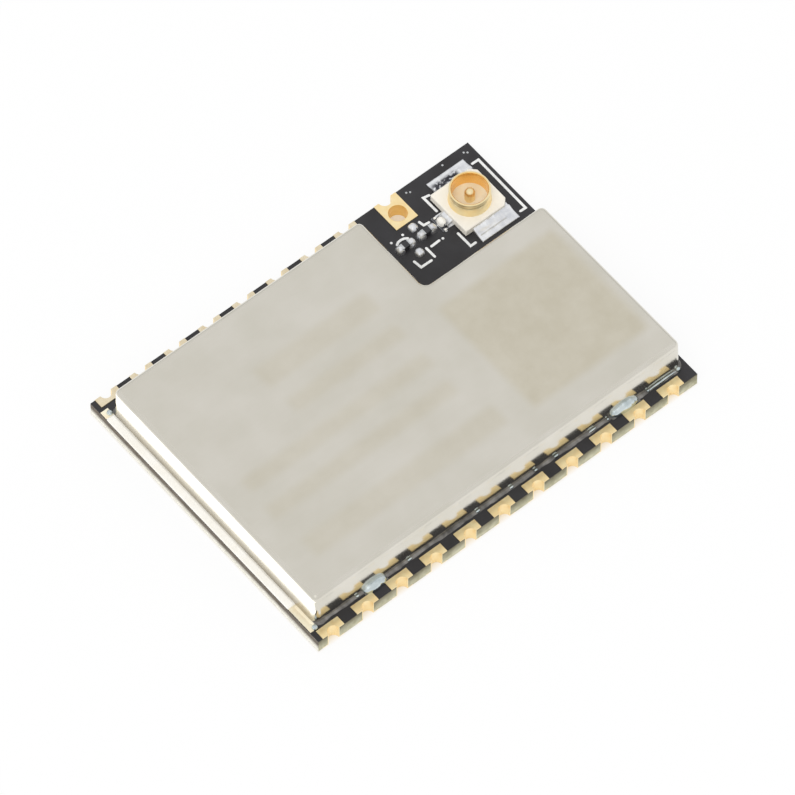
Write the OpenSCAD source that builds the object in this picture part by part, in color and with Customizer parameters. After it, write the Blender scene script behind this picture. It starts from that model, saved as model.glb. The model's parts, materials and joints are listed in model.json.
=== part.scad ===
// Surface-mount radio module with a shield can and a coaxial antenna connector.
// The origin is the centre of the board's underside, +X runs along the board
// towards the connector end, +Y towards the rear edge pads, +Z up. Millimetres.

/* [Board] */
// Length of the board along X
board_l = 22.3; // [20.5:0.1:30]
// Width of the board along Y
board_w = 16.35; // [15:0.05:24]
// Thickness of the laminate with its lacquer
board_t = 0.8; // [0.6:0.05:1.6]
// Thickness of the lands, the barrels and their plating
plating_t = 0.04; // [0.02:0.005:0.06]

/* [Edge pads] */
// Spacing of the edge pads
pad_pitch = 2; // [1.6:0.05:2.6]
// Width of an edge land along the board edge
pad_w = 1.24; // [0.9:0.02:1.4]
// Depth of an edge land from the board edge
pad_d = 0.5; // [0.46:0.01:0.6]
// Diameter of the plated half-holes
pad_hole_d = 0.6; // [0.3:0.05:0.8]
// Left board edge to the centre of the first pad
pad_first = 0.88; // [0.7:0.01:1.5]
// Least room from the last front pad's centre to the right board edge
pad_last_room = 1.2; // [0.8:0.1:3]
// Least room from the last rear pad's centre to the antenna pad's centre
pad_antenna_room = 2; // [1.5:0.1:4]

/* [Antenna pad] */
// Width of the antenna land along the board edge
antenna_w = 1.28; // [1.1:0.02:1.6]
// Depth of the antenna land from the board edge
antenna_d = 1.65; // [1.5:0.05:2]
// Diameter of the plated half-hole in the antenna land
antenna_notch_d = 0.7; // [0.3:0.05:0.8]
// Diameter of the plated through-hole in the antenna land
antenna_hole_d = 0.9; // [0.5:0.05:1]
// Rear board edge to the centre of the through-hole
antenna_hole_in = 0.97; // [0.85:0.01:1]
// Right board edge to the centre of the antenna land
antenna_from_right = 4.98; // [4.6:0.01:5.6]

/* [Shield] */
// Height of the shield above the board's face
shield_h = 2; // [1.5:0.05:4]
// Sheet thickness of the shield
sheet_t = 0.15; // [0.1:0.01:0.25]
// Outside radius of the bend between the shield's top and its walls
bend_r = 0.3; // [0.28:0.01:0.5]
// Inward lean of the shield's walls, in degrees
wall_lean = 2; // [1:0.5:5]
// Outside radius of the upright corner at the inside of the open corner
inner_corner_r = 0.3; // [0.1:0.05:0.8]
// Left board edge to the shield
shield_left = 0.43; // [0.2:0.01:0.8]
// Right board edge to the shield
shield_right = 0.28; // [0.2:0.01:0.8]
// Front board edge to the shield
shield_front = 0.77; // [0.76:0.01:1.2]
// Rear board edge to the shield
shield_rear = 1.03; // [0.8:0.01:1.5]
// Length of the open corner along X
notch_l = 7; // [6.6:0.02:8]
// Width of the open corner along Y
notch_w = 4.65; // [3.9:0.05:5.5]
// Width of the ground land outside and inside the shield's wall
ground_margin = 0.08; // [0.04:0.01:0.15]
// Left board edge to the exposed ground strip
strip_edge = 0.03; // [0.01:0.01:0.1]
// Gap from the front edge lands to the exposed ground strip
strip_gap_front = 0.09; // [0.05:0.01:0.15]
// Gap from the rear edge lands to the exposed ground strip
strip_gap_rear = 0.2; // [0.05:0.01:0.3]

/* [Shield joints] */
// Height of a solder bead up the shield's wall
bead_h = 0.5; // [0.3:0.02:0.6]
// Reach of a solder bead out from the shield's wall
bead_out = 0.24; // [0.15:0.01:0.25]
// Length of the left solder bead
left_bead_l = 1.35; // [1.25:0.05:2]
// Length of the right solder bead
right_bead_l = 1.66; // [1.25:0.05:2]
// Left board edge to the middle of the left bead
left_bead_from_left = 3.85; // [3:0.05:5]
// Right board edge to the middle of the right bead
right_bead_from_right = 3.75; // [3:0.05:5]
// Radius of the solder dots beside the shield's left corners
dot_r = 0.15; // [0.1:0.01:0.2]
// Shield's left wall to the centre of a dot
dot_out = 0.08; // [0.05:0.01:0.2]
// Front end of the exposed ground strip to the centre of its dot
dot_in_front = 0.09; // [0.05:0.01:0.15]
// Rear end of the exposed ground strip to the centre of its dot
dot_in_rear = 0.27; // [0.1:0.01:0.3]
// Height of the solder on the exposed ground strip, at the shield's wall
strip_solder_h = 0.12; // [0.08:0.01:0.2]
// Bare length of the strip between its front dot and its solder
strip_bare_front = 1.35; // [0.1:0.05:3]
// Bare length of the strip between its solder and its rear dot
strip_bare_rear = 0.02; // [0.02:0.01:1]
// Height of a solder film at its outer edge
solder_edge_h = 0.03; // [0.02:0.005:0.06]

/* [Connector] */
// Right board edge to the connector's centre
connector_from_right = 2.07; // [1.9:0.01:2.2]
// Rear board edge to the connector's centre
connector_from_rear = 2.63; // [2.2:0.01:2.8]
// Height of the connector above the board's face
connector_h = 1.25; // [1.2:0.01:1.4]
// Side of the square moulding
base_side = 2.6; // [2.5:0.05:2.8]
// Height of the moulding above the board's face
base_h = 0.42; // [0.36:0.01:0.5]
// Cut of the moulding's two corners at the connector end
base_cut = 0.3; // [0.1:0.05:0.5]
// Diameter of the ring's lip
ring_d = 1.96; // [1.9:0.01:2.1]
// Diameter of the opening in the ring
ring_bore_d = 1.7; // [1.5:0.01:1.75]
// Depth of the snap groove below the lip
groove_depth = 0.08; // [0.04:0.01:0.1]
// Height of the snap groove
groove_h = 0.22; // [0.16:0.01:0.3]
// Height of the lip above the snap groove
lip_h = 0.14; // [0.1:0.01:0.2]
// Diameter of the centre contact
contact_d = 0.5; // [0.4:0.01:0.6]
// Distance from the ring's rim down to the centre contact's tip
contact_drop = 0.12; // [0.02:0.01:0.2]
// Thickness of the legs and the tail
leg_t = 0.12; // [0.08:0.01:0.16]
// Width of the two ground legs
leg_w = 1.5; // [1:0.05:1.8]
// Reach of the legs and the tail beyond the moulding
leg_out = 0.4; // [0.2:0.05:0.6]
// Width of the tail of the centre contact
tail_w = 0.5; // [0.4:0.05:0.7]
// Length of a ground land along X
ground_land_l = 2.2; // [2:0.05:2.4]
// Offset of the ground lands from the connector's centre along X
ground_land_shift = 0.2; // [0:0.05:0.3]
// Reach of the ground lands beyond the moulding
land_out = 0.75; // [0.65:0.01:0.8]
// Reach of the signal land beyond the moulding
signal_land_out = 0.65; // [0.62:0.01:0.8]
// Reach of the lands under the moulding
land_under = 0.3; // [0.1:0.05:0.4]
// Width of the signal land along Y
signal_land_w = 0.9; // [0.8:0.05:1.2]
// Height of the solder on the lands at the moulding
solder_h = 0.2; // [0.18:0.01:0.3]

/* [Matching network] */
// Spacing of the lands along the signal line
match_pitch = 0.63; // [0.6:0.01:0.7]
// Spacing of the side lands from the signal line
match_side = 0.62; // [0.55:0.01:0.75]
// Side of a land
match_land = 0.38; // [0.3:0.01:0.42]
// Height of the solder on a land
match_solder_h = 0.15; // [0.12:0.01:0.2]
// Gap from the signal land to the first land
match_gap = 0.1; // [0.08:0.01:0.2]
// Length of a matching chip part
match_chip_l = 0.6; // [0.5:0.01:0.64]
// Width of a matching chip part
match_chip_w = 0.3; // [0.2:0.01:0.36]
// Height of a matching chip part
match_chip_h = 0.26; // [0.2:0.01:0.4]
// Length of a matching chip part's end cap
match_cap = 0.15; // [0.08:0.01:0.2]

/* [Chips] */
// Side of the transceiver
transceiver_side = 4; // [3:0.1:4.4]
// Leads on each side of the transceiver
transceiver_leads_side = 6; // [4:1:6]
// Side of the controller
controller_side = 5; // [4:0.1:5.4]
// Leads on each side of the controller
controller_leads_side = 8; // [4:1:8]
// Height of the bodies of the transceiver and the controller
chip_h = 0.8; // [0.5:0.05:1]
// Spacing of the leads
lead_pitch = 0.5; // [0.4:0.02:0.52]
// Width of a lead
lead_w = 0.24; // [0.15:0.01:0.3]
// Length of a lead under the body
lead_l = 0.4; // [0.3:0.05:0.5]
// Thickness of a lead
lead_t = 0.05; // [0.03:0.01:0.1]
// Gap from the leads to the pad under the body
lead_pad_gap = 0.4; // [0.2:0.05:0.5]
// Radius of the dimple that marks the first lead
dimple_r = 0.25; // [0.1:0.05:0.4]
// Depth of the dimple
dimple_depth = 0.04; // [0.02:0.01:0.08]
// Length of the antenna switch's body
switch_l = 2; // [1.8:0.05:2.2]
// Width of the antenna switch's body
switch_w = 1.25; // [1.1:0.05:1.4]
// Height of the antenna switch's body
switch_h = 0.8; // [0.6:0.05:1]
// Reach of the switch's leads beyond its body
switch_reach = 0.42; // [0.35:0.01:0.5]
// Switch's body to the foot of a lead
switch_knee = 0.14; // [0.1:0.01:0.16]
// Spacing of the switch's leads
switch_lead_pitch = 0.65; // [0.5:0.01:0.75]
// Thickness of the switch's leads
switch_lead_t = 0.12; // [0.08:0.01:0.14]
// Gap under the switch's body
switch_gap = 0.08; // [0.05:0.01:0.15]

/* [Crystals] */
// Length of the reference crystal
reference_l = 3.2; // [2.5:0.1:3.4]
// Width of the reference crystal
reference_w = 2.5; // [2:0.1:2.7]
// Height of the reference crystal
reference_h = 0.8; // [0.6:0.05:1.1]
// Length of the clock crystal
clock_l = 3.2; // [2:0.1:3.4]
// Width of the clock crystal
clock_w = 1.5; // [1.2:0.1:1.8]
// Height of the clock crystal
clock_h = 0.75; // [0.6:0.05:1]
// Height of a crystal's metal lid
lid_h = 0.25; // [0.15:0.01:0.4]
// Step from a crystal's edge to its lid
lid_step = 0.12; // [0.05:0.01:0.25]
// Gap between a crystal's lands along its length
crystal_gap_l = 1.1; // [0.6:0.05:1.6]
// Gap between a crystal's lands across its width
crystal_gap_w = 0.5; // [0.3:0.05:0.8]

/* [Chip parts] */
// Length of a capacitor, resistor or small inductor
chip_part_l = 1; // [0.8:0.05:1.1]
// Width of a capacitor, resistor or small inductor
chip_part_w = 0.5; // [0.3:0.05:0.6]
// Height of a capacitor
capacitor_h = 0.5; // [0.3:0.05:0.7]
// Height of a resistor
resistor_h = 0.35; // [0.25:0.05:0.5]
// Height of a small inductor
inductor_h = 0.5; // [0.3:0.05:0.7]
// Length of an end cap
chip_part_cap = 0.22; // [0.15:0.01:0.3]
// Length of the power inductor
power_l = 2; // [1.6:0.1:2.2]
// Width of the power inductor
power_w = 1.25; // [1:0.05:1.4]
// Height of the power inductor
power_h = 0.9; // [0.6:0.05:1.1]
// Length of the power inductor's end cap
power_cap = 0.4; // [0.3:0.05:0.6]
// Length that a land reaches beyond its part
land_reach = 0.2; // [0.1:0.01:0.25]
// Spacing of chip parts in a row
row_pitch = 1.1; // [0.9:0.05:1.2]
// Gap from a chip to a row of chip parts
row_gap = 0.9; // [0.8:0.05:1.2]
// Capacitors beside the controller
controller_capacitors = 4; // [1:1:4]
// Capacitors beside the transceiver
transceiver_capacitors = 3; // [1:1:3]
// Small inductors beside the antenna switch
inductor_count = 3; // [1:1:3]
// Resistors behind the reference crystal
resistor_count = 3; // [1:1:3]
// Least room from the shield's inside to the parts
wall_room = 1; // [0.7:0.05:1.2]

/* [Hidden] */
$fn = 48;
// overlap of a cutter beyond the face that it opens
cut = 1;
land_z = board_t + plating_t;

// pad rows, counted from the left board edge
antenna_x = board_l / 2 - antenna_from_right;
front_pads = floor((board_l - pad_first - pad_last_room) / pad_pitch) + 1;
rear_pads = floor((board_l - antenna_from_right - pad_antenna_room - pad_first) / pad_pitch) + 1;
function pad_x(i) = -board_l / 2 + pad_first + i * pad_pitch;

// outside faces of the shield at its foot
shield_x0 = -board_l / 2 + shield_left;
shield_x1 = board_l / 2 - shield_right;
shield_y0 = -board_w / 2 + shield_front;
shield_y1 = board_w / 2 - shield_rear;
notch_x = shield_x1 - notch_l;
notch_y = shield_y1 - notch_w;
shield_wall_h = shield_h - plating_t;
// length of a wall up its lean, and the reach in plan of a wall with its bend, to a whole micrometre
wall_slope_l = (shield_wall_h - bend_r * (1 - sin(wall_lean))) / cos(wall_lean);
wall_reach = round(1000 * (wall_slope_l * sin(wall_lean) + bend_r * cos(wall_lean))) / 1000;
// rise of a bend's round over the flat of its wall
bend_lap = 0.00005;

// ends of the exposed ground strip, and the dots on it
strip_w = shield_left - strip_edge;
strip_y0 = -board_w / 2 + pad_d + strip_gap_front;
strip_y1 = board_w / 2 - pad_d - strip_gap_rear;
dot_ys = [strip_y0 + dot_in_front, strip_y1 - dot_in_rear];

// a bead's round face passes through its reach on the board and its height on the wall
bead_sunk = (bead_h * bead_h - bead_out * bead_out) / (2 * bead_out);
bead_r = bead_out + bead_sunk;
left_bead_x = -board_l / 2 + left_bead_from_left;
right_bead_x = board_l / 2 - right_bead_from_right;
notch_bead_x = notch_x - left_bead_from_left + shield_left;

// connector
connector_x = board_l / 2 - connector_from_right;
connector_y = board_w / 2 - connector_from_rear;
ring_wall = (ring_d - ring_bore_d) / 2;
leg_y0 = sqrt(ring_bore_d * ring_bore_d - leg_w * leg_w) / 2;
groove_z = board_t + connector_h - lip_h - groove_h / 2;
groove_r = (groove_h * groove_h / 4 + groove_depth * groove_depth) / (2 * groove_depth);
contact_top = board_t + connector_h - contact_drop;
signal_land_x = connector_x - base_side / 2 - signal_land_out;

// matching network, from the signal land towards the shield
match_y = connector_y;
match_x0 = signal_land_x - match_gap - match_land / 2;
match_solder_fall = match_solder_h / 2;
match_half_diagonal = match_land * sqrt(2) / 2;
match_solder_r = (match_half_diagonal * match_half_diagonal + match_solder_fall * match_solder_fall)
    / (2 * match_solder_fall);
match_line_lands = 4;
match_line = [for (i = [0:match_line_lands - 1]) [match_x0 - i * match_pitch, match_y, 0]];
match_sides = [
    [match_x0 - match_pitch, match_y + match_side, 0],
    [match_x0 - 2 * match_pitch, match_y - match_side, 0]
];
match_chips = [for (i = [0:2:match_line_lands - 2]) [match_x0 - (i + 0.5) * match_pitch, match_y, 0]];

// parts under the shield, placed from its walls
inside_x0 = shield_x0 + sheet_t + wall_room;
inside_x1 = shield_x1 - sheet_t - wall_room;
inside_y0 = shield_y0 + sheet_t + wall_room;
inside_y1 = shield_y1 - sheet_t - wall_room;
controller_spot = [inside_x0 + controller_side / 2, inside_y0 + controller_side / 2, 0];
transceiver_spot = [inside_x0 + transceiver_side / 2, inside_y1 - transceiver_side / 2, 0];
reference_spot = [
    controller_spot[0] + controller_side / 2 + 2 * row_gap + chip_part_l + reference_l / 2,
    inside_y0 + reference_w / 2,
    0
];
clock_spot = [inside_x1 - clock_l / 2, inside_y0 + clock_w / 2, 0];
power_spot = [inside_x1 - power_l / 2, clock_spot[1] + clock_w / 2 + row_gap + power_w / 2, 0];
switch_spot = [notch_x - sheet_t - wall_room - switch_w / 2 - switch_reach, inside_y1 - switch_l / 2, 90];
controller_row_x = controller_spot[0] + controller_side / 2 + row_gap + chip_part_l / 2;
transceiver_row_x = transceiver_spot[0] + transceiver_side / 2 + row_gap + chip_part_l / 2;
switch_row_x = switch_spot[0] - switch_w / 2 - switch_reach - row_gap - chip_part_l / 2;
resistor_row_y = reference_spot[1] + reference_w / 2 + row_gap + chip_part_l / 2;
// places along a row of a number of parts, about its middle
function row(count) = [for (i = [0:count - 1]) (i - (count - 1) / 2) * row_pitch];
capacitor_spots = concat(
    [for (step = row(controller_capacitors)) [controller_row_x, controller_spot[1] + step, 0]],
    [for (step = row(transceiver_capacitors)) [transceiver_row_x, transceiver_spot[1] + step, 0]]
);
inductor_spots = [for (step = row(inductor_count)) [switch_row_x, switch_spot[1] + step, 0]];
resistor_spots = [for (step = row(resistor_count)) [reference_spot[0] + step, resistor_row_y, 90]];

// children at each spot [x, y, turn], standing on the lands
module at_each(spots) {
    for (s = spots)
        translate([s[0], s[1], land_z])
            rotate(s[2])
                children();
}

// a box centred in plan, standing on z = 0
module block(l, w, h) {
    translate([-l / 2, -w / 2, 0])
        cube([l, w, h]);
}

// edge pads

// from the board edge inwards along +Y: land on top, land let into the underside, half barrel
module edge_pad(w, d, hole_d) {
    difference() {
        union() {
            translate([-w / 2, 0, board_t])
                cube([w, d, plating_t]);
            translate([-w / 2, 0, 0])
                cube([w, d, plating_t]);
            intersection() {
                cylinder(d = hole_d + 2 * plating_t, h = board_t);
                translate([-w / 2, 0, 0])
                    cube([w, d, board_t]);
            }
        }
        translate([0, 0, -cut])
            cylinder(d = hole_d, h = land_z + 2 * cut);
    }
}

// room for an edge pad in the laminate
module edge_pad_room(w, d, hole_d) {
    translate([0, 0, -cut])
        cylinder(d = hole_d + 2 * plating_t, h = board_t + 2 * cut);
    translate([-w / 2, -cut, -cut])
        cube([w, d + cut, plating_t + cut]);
}

module at_front_pads() {
    for (i = [0:front_pads - 1])
        translate([pad_x(i), -board_w / 2, 0])
            children();
}

module at_rear_pads() {
    for (i = [0:rear_pads - 1])
        translate([pad_x(i), board_w / 2, 0])
            rotate(180)
                children();
}

module at_antenna_pad() {
    translate([antenna_x, board_w / 2, 0])
        rotate(180)
            children();
}

module circuit_board() {
    color("#2b2a2e")
        difference() {
            block(board_l, board_w, board_t);
            at_front_pads()
                edge_pad_room(pad_w, pad_d, pad_hole_d);
            at_rear_pads()
                edge_pad_room(pad_w, pad_d, pad_hole_d);
            at_antenna_pad() {
                edge_pad_room(antenna_w, antenna_d, antenna_notch_d);
                translate([0, antenna_hole_in, -cut])
                    cylinder(d = antenna_hole_d + 2 * plating_t, h = board_t + 2 * cut);
            }
        }
}

module front_edge_pads() {
    color("#e9d29c")
        at_front_pads()
            edge_pad(pad_w, pad_d, pad_hole_d);
}

module rear_edge_pads() {
    color("#e9d29c")
        at_rear_pads()
            edge_pad(pad_w, pad_d, pad_hole_d);
}

module antenna_pad() {
    color("#f0cf8a")
        at_antenna_pad()
            difference() {
                union() {
                    edge_pad(antenna_w, antenna_d, antenna_notch_d);
                    translate([0, antenna_hole_in, 0])
                        cylinder(d = antenna_hole_d + 2 * plating_t, h = board_t);
                }
                translate([0, antenna_hole_in, -cut])
                    cylinder(d = antenna_hole_d, h = land_z + 2 * cut);
            }
}

// shield

// the shield's outline grown by a margin, with square corners
module shield_outline(margin) {
    polygon([
        [shield_x0 - margin, shield_y0 - margin],
        [shield_x1 + margin, shield_y0 - margin],
        [shield_x1 + margin, notch_y + margin],
        [notch_x + margin, notch_y + margin],
        [notch_x + margin, shield_y1 + margin],
        [shield_x0 - margin, shield_y1 + margin]
    ]);
}

// what a rounded corner of a radius leaves off, the corner at the origin and the body along -X and -Y
module corner_off(r) {
    translate([-r, -r])
        difference() {
            square(r + cut);
            circle(r);
        }
}

// the shield's outline grown by a margin, rounded like the shield at its outward corners
module land_outline(margin) {
    r = wall_reach + margin;
    difference() {
        shield_outline(margin);
        translate([shield_x1 + margin, shield_y0 - margin])
            rotate(270)
                corner_off(r);
        translate([shield_x1 + margin, notch_y + margin])
            corner_off(r);
        translate([notch_x + margin, shield_y1 + margin])
            corner_off(r);
        translate([shield_x0 - margin, shield_y1 + margin])
            rotate(90)
                corner_off(r);
        translate([shield_x0 - margin, shield_y0 - margin])
            rotate(180)
                corner_off(r);
    }
}

// spots of the beads along the walls [x, y, turn, length], the wall's outside along -Y
bead_spots = [
    [left_bead_x, shield_y0, 0, left_bead_l],
    [right_bead_x, shield_y0, 0, right_bead_l],
    [left_bead_x, shield_y1, 180, left_bead_l],
    [notch_bead_x, shield_y1, 180, right_bead_l]
];

module ground_land() {
    color("#ead9a8")
        translate([0, 0, board_t])
            linear_extrude(plating_t)
                difference() {
                    union() {
                        land_outline(ground_margin);
                        translate([-board_l / 2 + strip_edge, strip_y0])
                            square([shield_left, strip_y1 - strip_y0]);
                        for (b = bead_spots)
                            translate([b[0], b[1]])
                                rotate(b[2])
                                    translate([-b[3] / 2, -bead_out])
                                        square([b[3], 2 * bead_out]);
                    }
                    shield_outline(-sheet_t - ground_margin);
                }
}

// filled section under a leaning wall and its bend of a radius, down to the wall's foot
module wall_profile(r) {
    bend = [-wall_reach, shield_wall_h - bend_r];
    foot_x = -(bend_r - r + bend_lap) / cos(wall_lean);
    translate(bend)
        circle(r);
    polygon([
        [foot_x, 0],
        bend + (r - bend_lap) * [cos(wall_lean), sin(wall_lean)],
        bend,
        [-wall_reach, 0]
    ]);
}

// section of the shield's leaning wall and top bend, outside of its foot at x = 0
module wall_section() {
    intersection() {
        difference() {
            wall_profile(bend_r);
            wall_profile(bend_r - sheet_t);
        }
        translate([-wall_reach, 0])
            square([wall_reach, shield_wall_h]);
    }
}

// straight wall from point a to point b, its outside on the right hand
module wall_run(a, b) {
    run = b - a;
    translate([a[0], a[1], land_z])
        rotate(atan2(run[1], run[0]))
            rotate([90, 0, 90])
                linear_extrude(norm(run))
                    mirror([1, 0])
                        wall_section();
}

// outward upright corner, the quarter turn starts at an angle
module wall_corner(x, y, angle) {
    translate([x, y, land_z])
        rotate(angle)
            rotate_extrude(angle = 90)
                intersection() {
                    translate([wall_reach, 0])
                        wall_section();
                    square([wall_reach, shield_wall_h]);
                }
}

// upright corner at the inside of the open corner
module wall_inner_corner() {
    translate([notch_x + inner_corner_r, notch_y + inner_corner_r, land_z])
        rotate(180)
            rotate_extrude(angle = 90)
                translate([inner_corner_r, 0])
                    mirror([1, 0])
                        wall_section();
}

// flat top between the bends
module shield_top() {
    fillet = inner_corner_r + wall_reach;
    translate([0, 0, board_t + shield_h - sheet_t])
        linear_extrude(sheet_t) {
            shield_outline(-wall_reach);
            translate([notch_x - wall_reach, notch_y - wall_reach])
                difference() {
                    square(fillet);
                    translate([fillet, fillet])
                        circle(fillet);
                }
        }
}

module shield_can() {
    x0 = shield_x0 + wall_reach;
    x1 = shield_x1 - wall_reach;
    y0 = shield_y0 + wall_reach;
    y1 = shield_y1 - wall_reach;
    color("#cdc9bc") {
        shield_top();
        wall_run([x0, shield_y0], [x1, shield_y0]);
        wall_run([shield_x1, y0], [shield_x1, notch_y - wall_reach]);
        wall_run([x1, notch_y], [notch_x + inner_corner_r, notch_y]);
        wall_run([notch_x, notch_y + inner_corner_r], [notch_x, y1]);
        wall_run([notch_x - wall_reach, shield_y1], [x0, shield_y1]);
        wall_run([shield_x0, y1], [shield_x0, y0]);
        wall_corner(x1, y0, 270);
        wall_corner(x1, notch_y - wall_reach, 0);
        wall_corner(notch_x - wall_reach, y1, 0);
        wall_corner(x0, y1, 90);
        wall_corner(x0, y0, 180);
        wall_inner_corner();
    }
}

// solder bead on the board and against a wall, the wall's outside along -Y
module bead(l) {
    straight = l - 2 * bead_h;
    intersection() {
        translate([0, bead_sunk, 0])
            union() {
                translate([-straight / 2, 0, 0])
                    rotate([0, 90, 0])
                        cylinder(r = bead_r, h = straight);
                for (side = [-1, 1])
                    translate([side * straight / 2, 0, 0])
                        sphere(r = bead_r);
            }
        translate([-l / 2, 0, 0])
            rotate([90, 0, 90])
                linear_extrude(l)
                    polygon([
                        [-bead_out, 0], [0, 0], [bead_h * tan(wall_lean), bead_h], [-bead_out, bead_h]
                    ]);
    }
}

// section of a solder film, falling from its height at a wall that leans back to its outer edge
module film_section(out, h, lean = 0) {
    polygon([[0, 0], [out, 0], [out, solder_edge_h], [-h * tan(lean), h]]);
}

// solder film on the exposed ground strip, between its two dots
module strip_solder() {
    y0 = dot_ys[0] + dot_r + strip_bare_front;
    y1 = dot_ys[1] - dot_r - strip_bare_rear;
    translate([shield_x0, y0, 0])
        rotate([90, 0, 180])
            linear_extrude(y1 - y0)
                film_section(strip_w, strip_solder_h, wall_lean);
}

// solder dot on the exposed ground strip
module dot() {
    intersection() {
        sphere(r = dot_r);
        block(2 * dot_r, 2 * dot_r, dot_r);
    }
}

module shield_solder() {
    color("#cfdbe2")
        translate([0, 0, land_z]) {
            for (b = bead_spots)
                translate([b[0], b[1]])
                    rotate(b[2])
                        bead(b[3]);
            strip_solder();
            for (y = dot_ys)
                translate([shield_x0 - dot_out, y])
                    dot();
        }
}

// connector

// leg that carries the ring's wall down through the moulding and runs out along +Y
module ring_leg() {
    translate([0, 0, plating_t]) {
        intersection() {
            difference() {
                cylinder(d = ring_d, h = base_h - plating_t);
                translate([0, 0, -cut])
                    cylinder(d = ring_bore_d, h = base_h + 2 * cut);
            }
            translate([-leg_w / 2, 0, 0])
                cube([leg_w, ring_d, base_h]);
        }
        translate([-leg_w / 2, leg_y0, 0])
            cube([leg_w, base_side / 2 + leg_out - leg_y0, leg_t]);
    }
}

// tail from the centre contact out along -X
module contact_tail() {
    translate([-base_side / 2 - leg_out, -tail_w / 2, plating_t])
        cube([base_side / 2 + leg_out, tail_w, leg_t]);
}

// outline of the moulding, two corners cut at +X
module base_outline() {
    h = base_side / 2;
    polygon([
        [-h, -h], [h - base_cut, -h], [h, base_cut - h],
        [h, h - base_cut], [h - base_cut, h], [-h, h]
    ]);
}

module at_connector() {
    translate([connector_x, connector_y, board_t])
        children();
}

module ring_legs() {
    for (turn = [0, 180])
        rotate(turn)
            ring_leg();
}

module connector_base() {
    color("#f3ecdf")
        at_connector()
            difference() {
                translate([0, 0, plating_t])
                    linear_extrude(base_h - plating_t)
                        base_outline();
                ring_legs();
                contact_tail();
                cylinder(d = contact_d, h = base_h + cut);
            }
}

// ring turned about the contact, with its snap groove under a rounded lip
module connector_ring() {
    lip_r = ring_wall / 2;
    color("#e6bd6b")
        at_connector() {
            rotate_extrude()
                difference() {
                    union() {
                        translate([ring_bore_d / 2, base_h])
                            square([ring_wall, connector_h - base_h - lip_r]);
                        translate([ring_bore_d / 2 + lip_r, connector_h - lip_r])
                            circle(lip_r);
                    }
                    translate([ring_d / 2 - groove_depth + groove_r, groove_z - board_t])
                        circle(groove_r);
                }
            ring_legs();
        }
}

module connector_contact() {
    color("#e2b765")
        at_connector() {
            translate([0, 0, plating_t])
                cylinder(d = contact_d, h = contact_top - board_t - contact_d / 2 - plating_t);
            translate([0, 0, contact_top - board_t - contact_d / 2])
                sphere(d = contact_d);
            contact_tail();
        }
}

module connector_lands() {
    color("#c9cdd2")
        at_connector()
            linear_extrude(plating_t) {
                for (side = [0, 1])
                    mirror([0, side])
                        translate([ground_land_shift - ground_land_l / 2, base_side / 2 - land_under])
                            square([ground_land_l, land_out + land_under]);
                translate([-base_side / 2 - signal_land_out, -signal_land_w / 2])
                    square([signal_land_out + land_under, signal_land_w]);
            }
}

// solder film from the moulding's side to the land's outer edge, along +Y
module land_solder(l, out) {
    rotate([90, 0, 90])
        translate([0, 0, -l / 2])
            linear_extrude(l)
                film_section(out, solder_h);
}

module connector_solder() {
    color("#d5dadf")
        at_connector()
            difference() {
                translate([0, 0, plating_t]) {
                    for (side = [0, 1])
                        mirror([0, side, 0])
                            translate([ground_land_shift, base_side / 2, 0])
                                land_solder(ground_land_l, land_out);
                    rotate(90)
                        translate([0, base_side / 2, 0])
                            land_solder(signal_land_w, signal_land_out);
                }
                ring_legs();
                contact_tail();
            }
}

// matching network

// land with a low dome of solder
module solder_land() {
    intersection() {
        block(match_land, match_land, match_solder_h);
        translate([0, 0, match_solder_h - match_solder_r])
            sphere(r = match_solder_r);
    }
}

module matching_lands() {
    color("#d9dcdf")
        difference() {
            for (s = concat(match_line, match_sides))
                translate([s[0], s[1], board_t])
                    solder_land();
            at_each(match_chips)
                block(match_chip_l, match_chip_w, match_chip_h);
        }
}

// chip part standing on z = 0, its length along X
module chip_part_body(l, w, h, cap) {
    block(l - 2 * cap, w, h);
}

module chip_part_ends(l, w, h, cap) {
    for (side = [-1, 1])
        translate([side * (l - cap) / 2, 0, 0])
            block(cap, w, h);
}

module chip_part_lands(l, w, cap) {
    for (side = [-1, 1])
        translate([side * (l - cap + land_reach) / 2, 0, -plating_t])
            block(cap + land_reach, w, plating_t);
}

module matching_chips() {
    color("#26262a")
        at_each(match_chips)
            chip_part_body(match_chip_l, match_chip_w, match_chip_h, match_cap);
}

module matching_chip_ends() {
    color("#d4d6d8")
        at_each(match_chips)
            chip_part_ends(match_chip_l, match_chip_w, match_chip_h, match_cap);
}

// parts under the shield

// places of the leads of a flat no-lead package, each lead inwards along +Y from the body's side
module at_leads(side, count) {
    for (turn = [0:90:270])
        rotate(turn)
            for (i = [0:count - 1])
                translate([(i - (count - 1) / 2) * lead_pitch, -side / 2, 0])
                    children();
}

module flat_body(side) {
    translate([0, 0, lead_t])
        difference() {
            block(side, side, chip_h);
            translate([-side / 2 + 2 * dimple_r, -side / 2 + 2 * dimple_r, chip_h - dimple_depth])
                cylinder(r = dimple_r, h = dimple_depth + cut);
        }
}

module flat_leads(side, count) {
    pad = side - 2 * (lead_l + lead_pad_gap);
    at_leads(side, count)
        translate([-lead_w / 2, 0, 0])
            cube([lead_w, lead_l, lead_t]);
    block(pad, pad, lead_t);
}

module flat_lands(side, count) {
    pad = side - 2 * (lead_l + lead_pad_gap);
    translate([0, 0, -plating_t]) {
        at_leads(side, count)
            translate([-lead_w / 2, -land_reach, 0])
                cube([lead_w, lead_l + land_reach, plating_t]);
        block(pad, pad, plating_t);
    }
}

module transceiver_body() {
    color("#2f2f33")
        at_each([transceiver_spot])
            flat_body(transceiver_side);
}

module transceiver_leads() {
    color("#c8c8c4")
        at_each([transceiver_spot])
            flat_leads(transceiver_side, transceiver_leads_side);
}

module controller_body() {
    color("#2f2f33")
        at_each([controller_spot])
            flat_body(controller_side);
}

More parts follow.
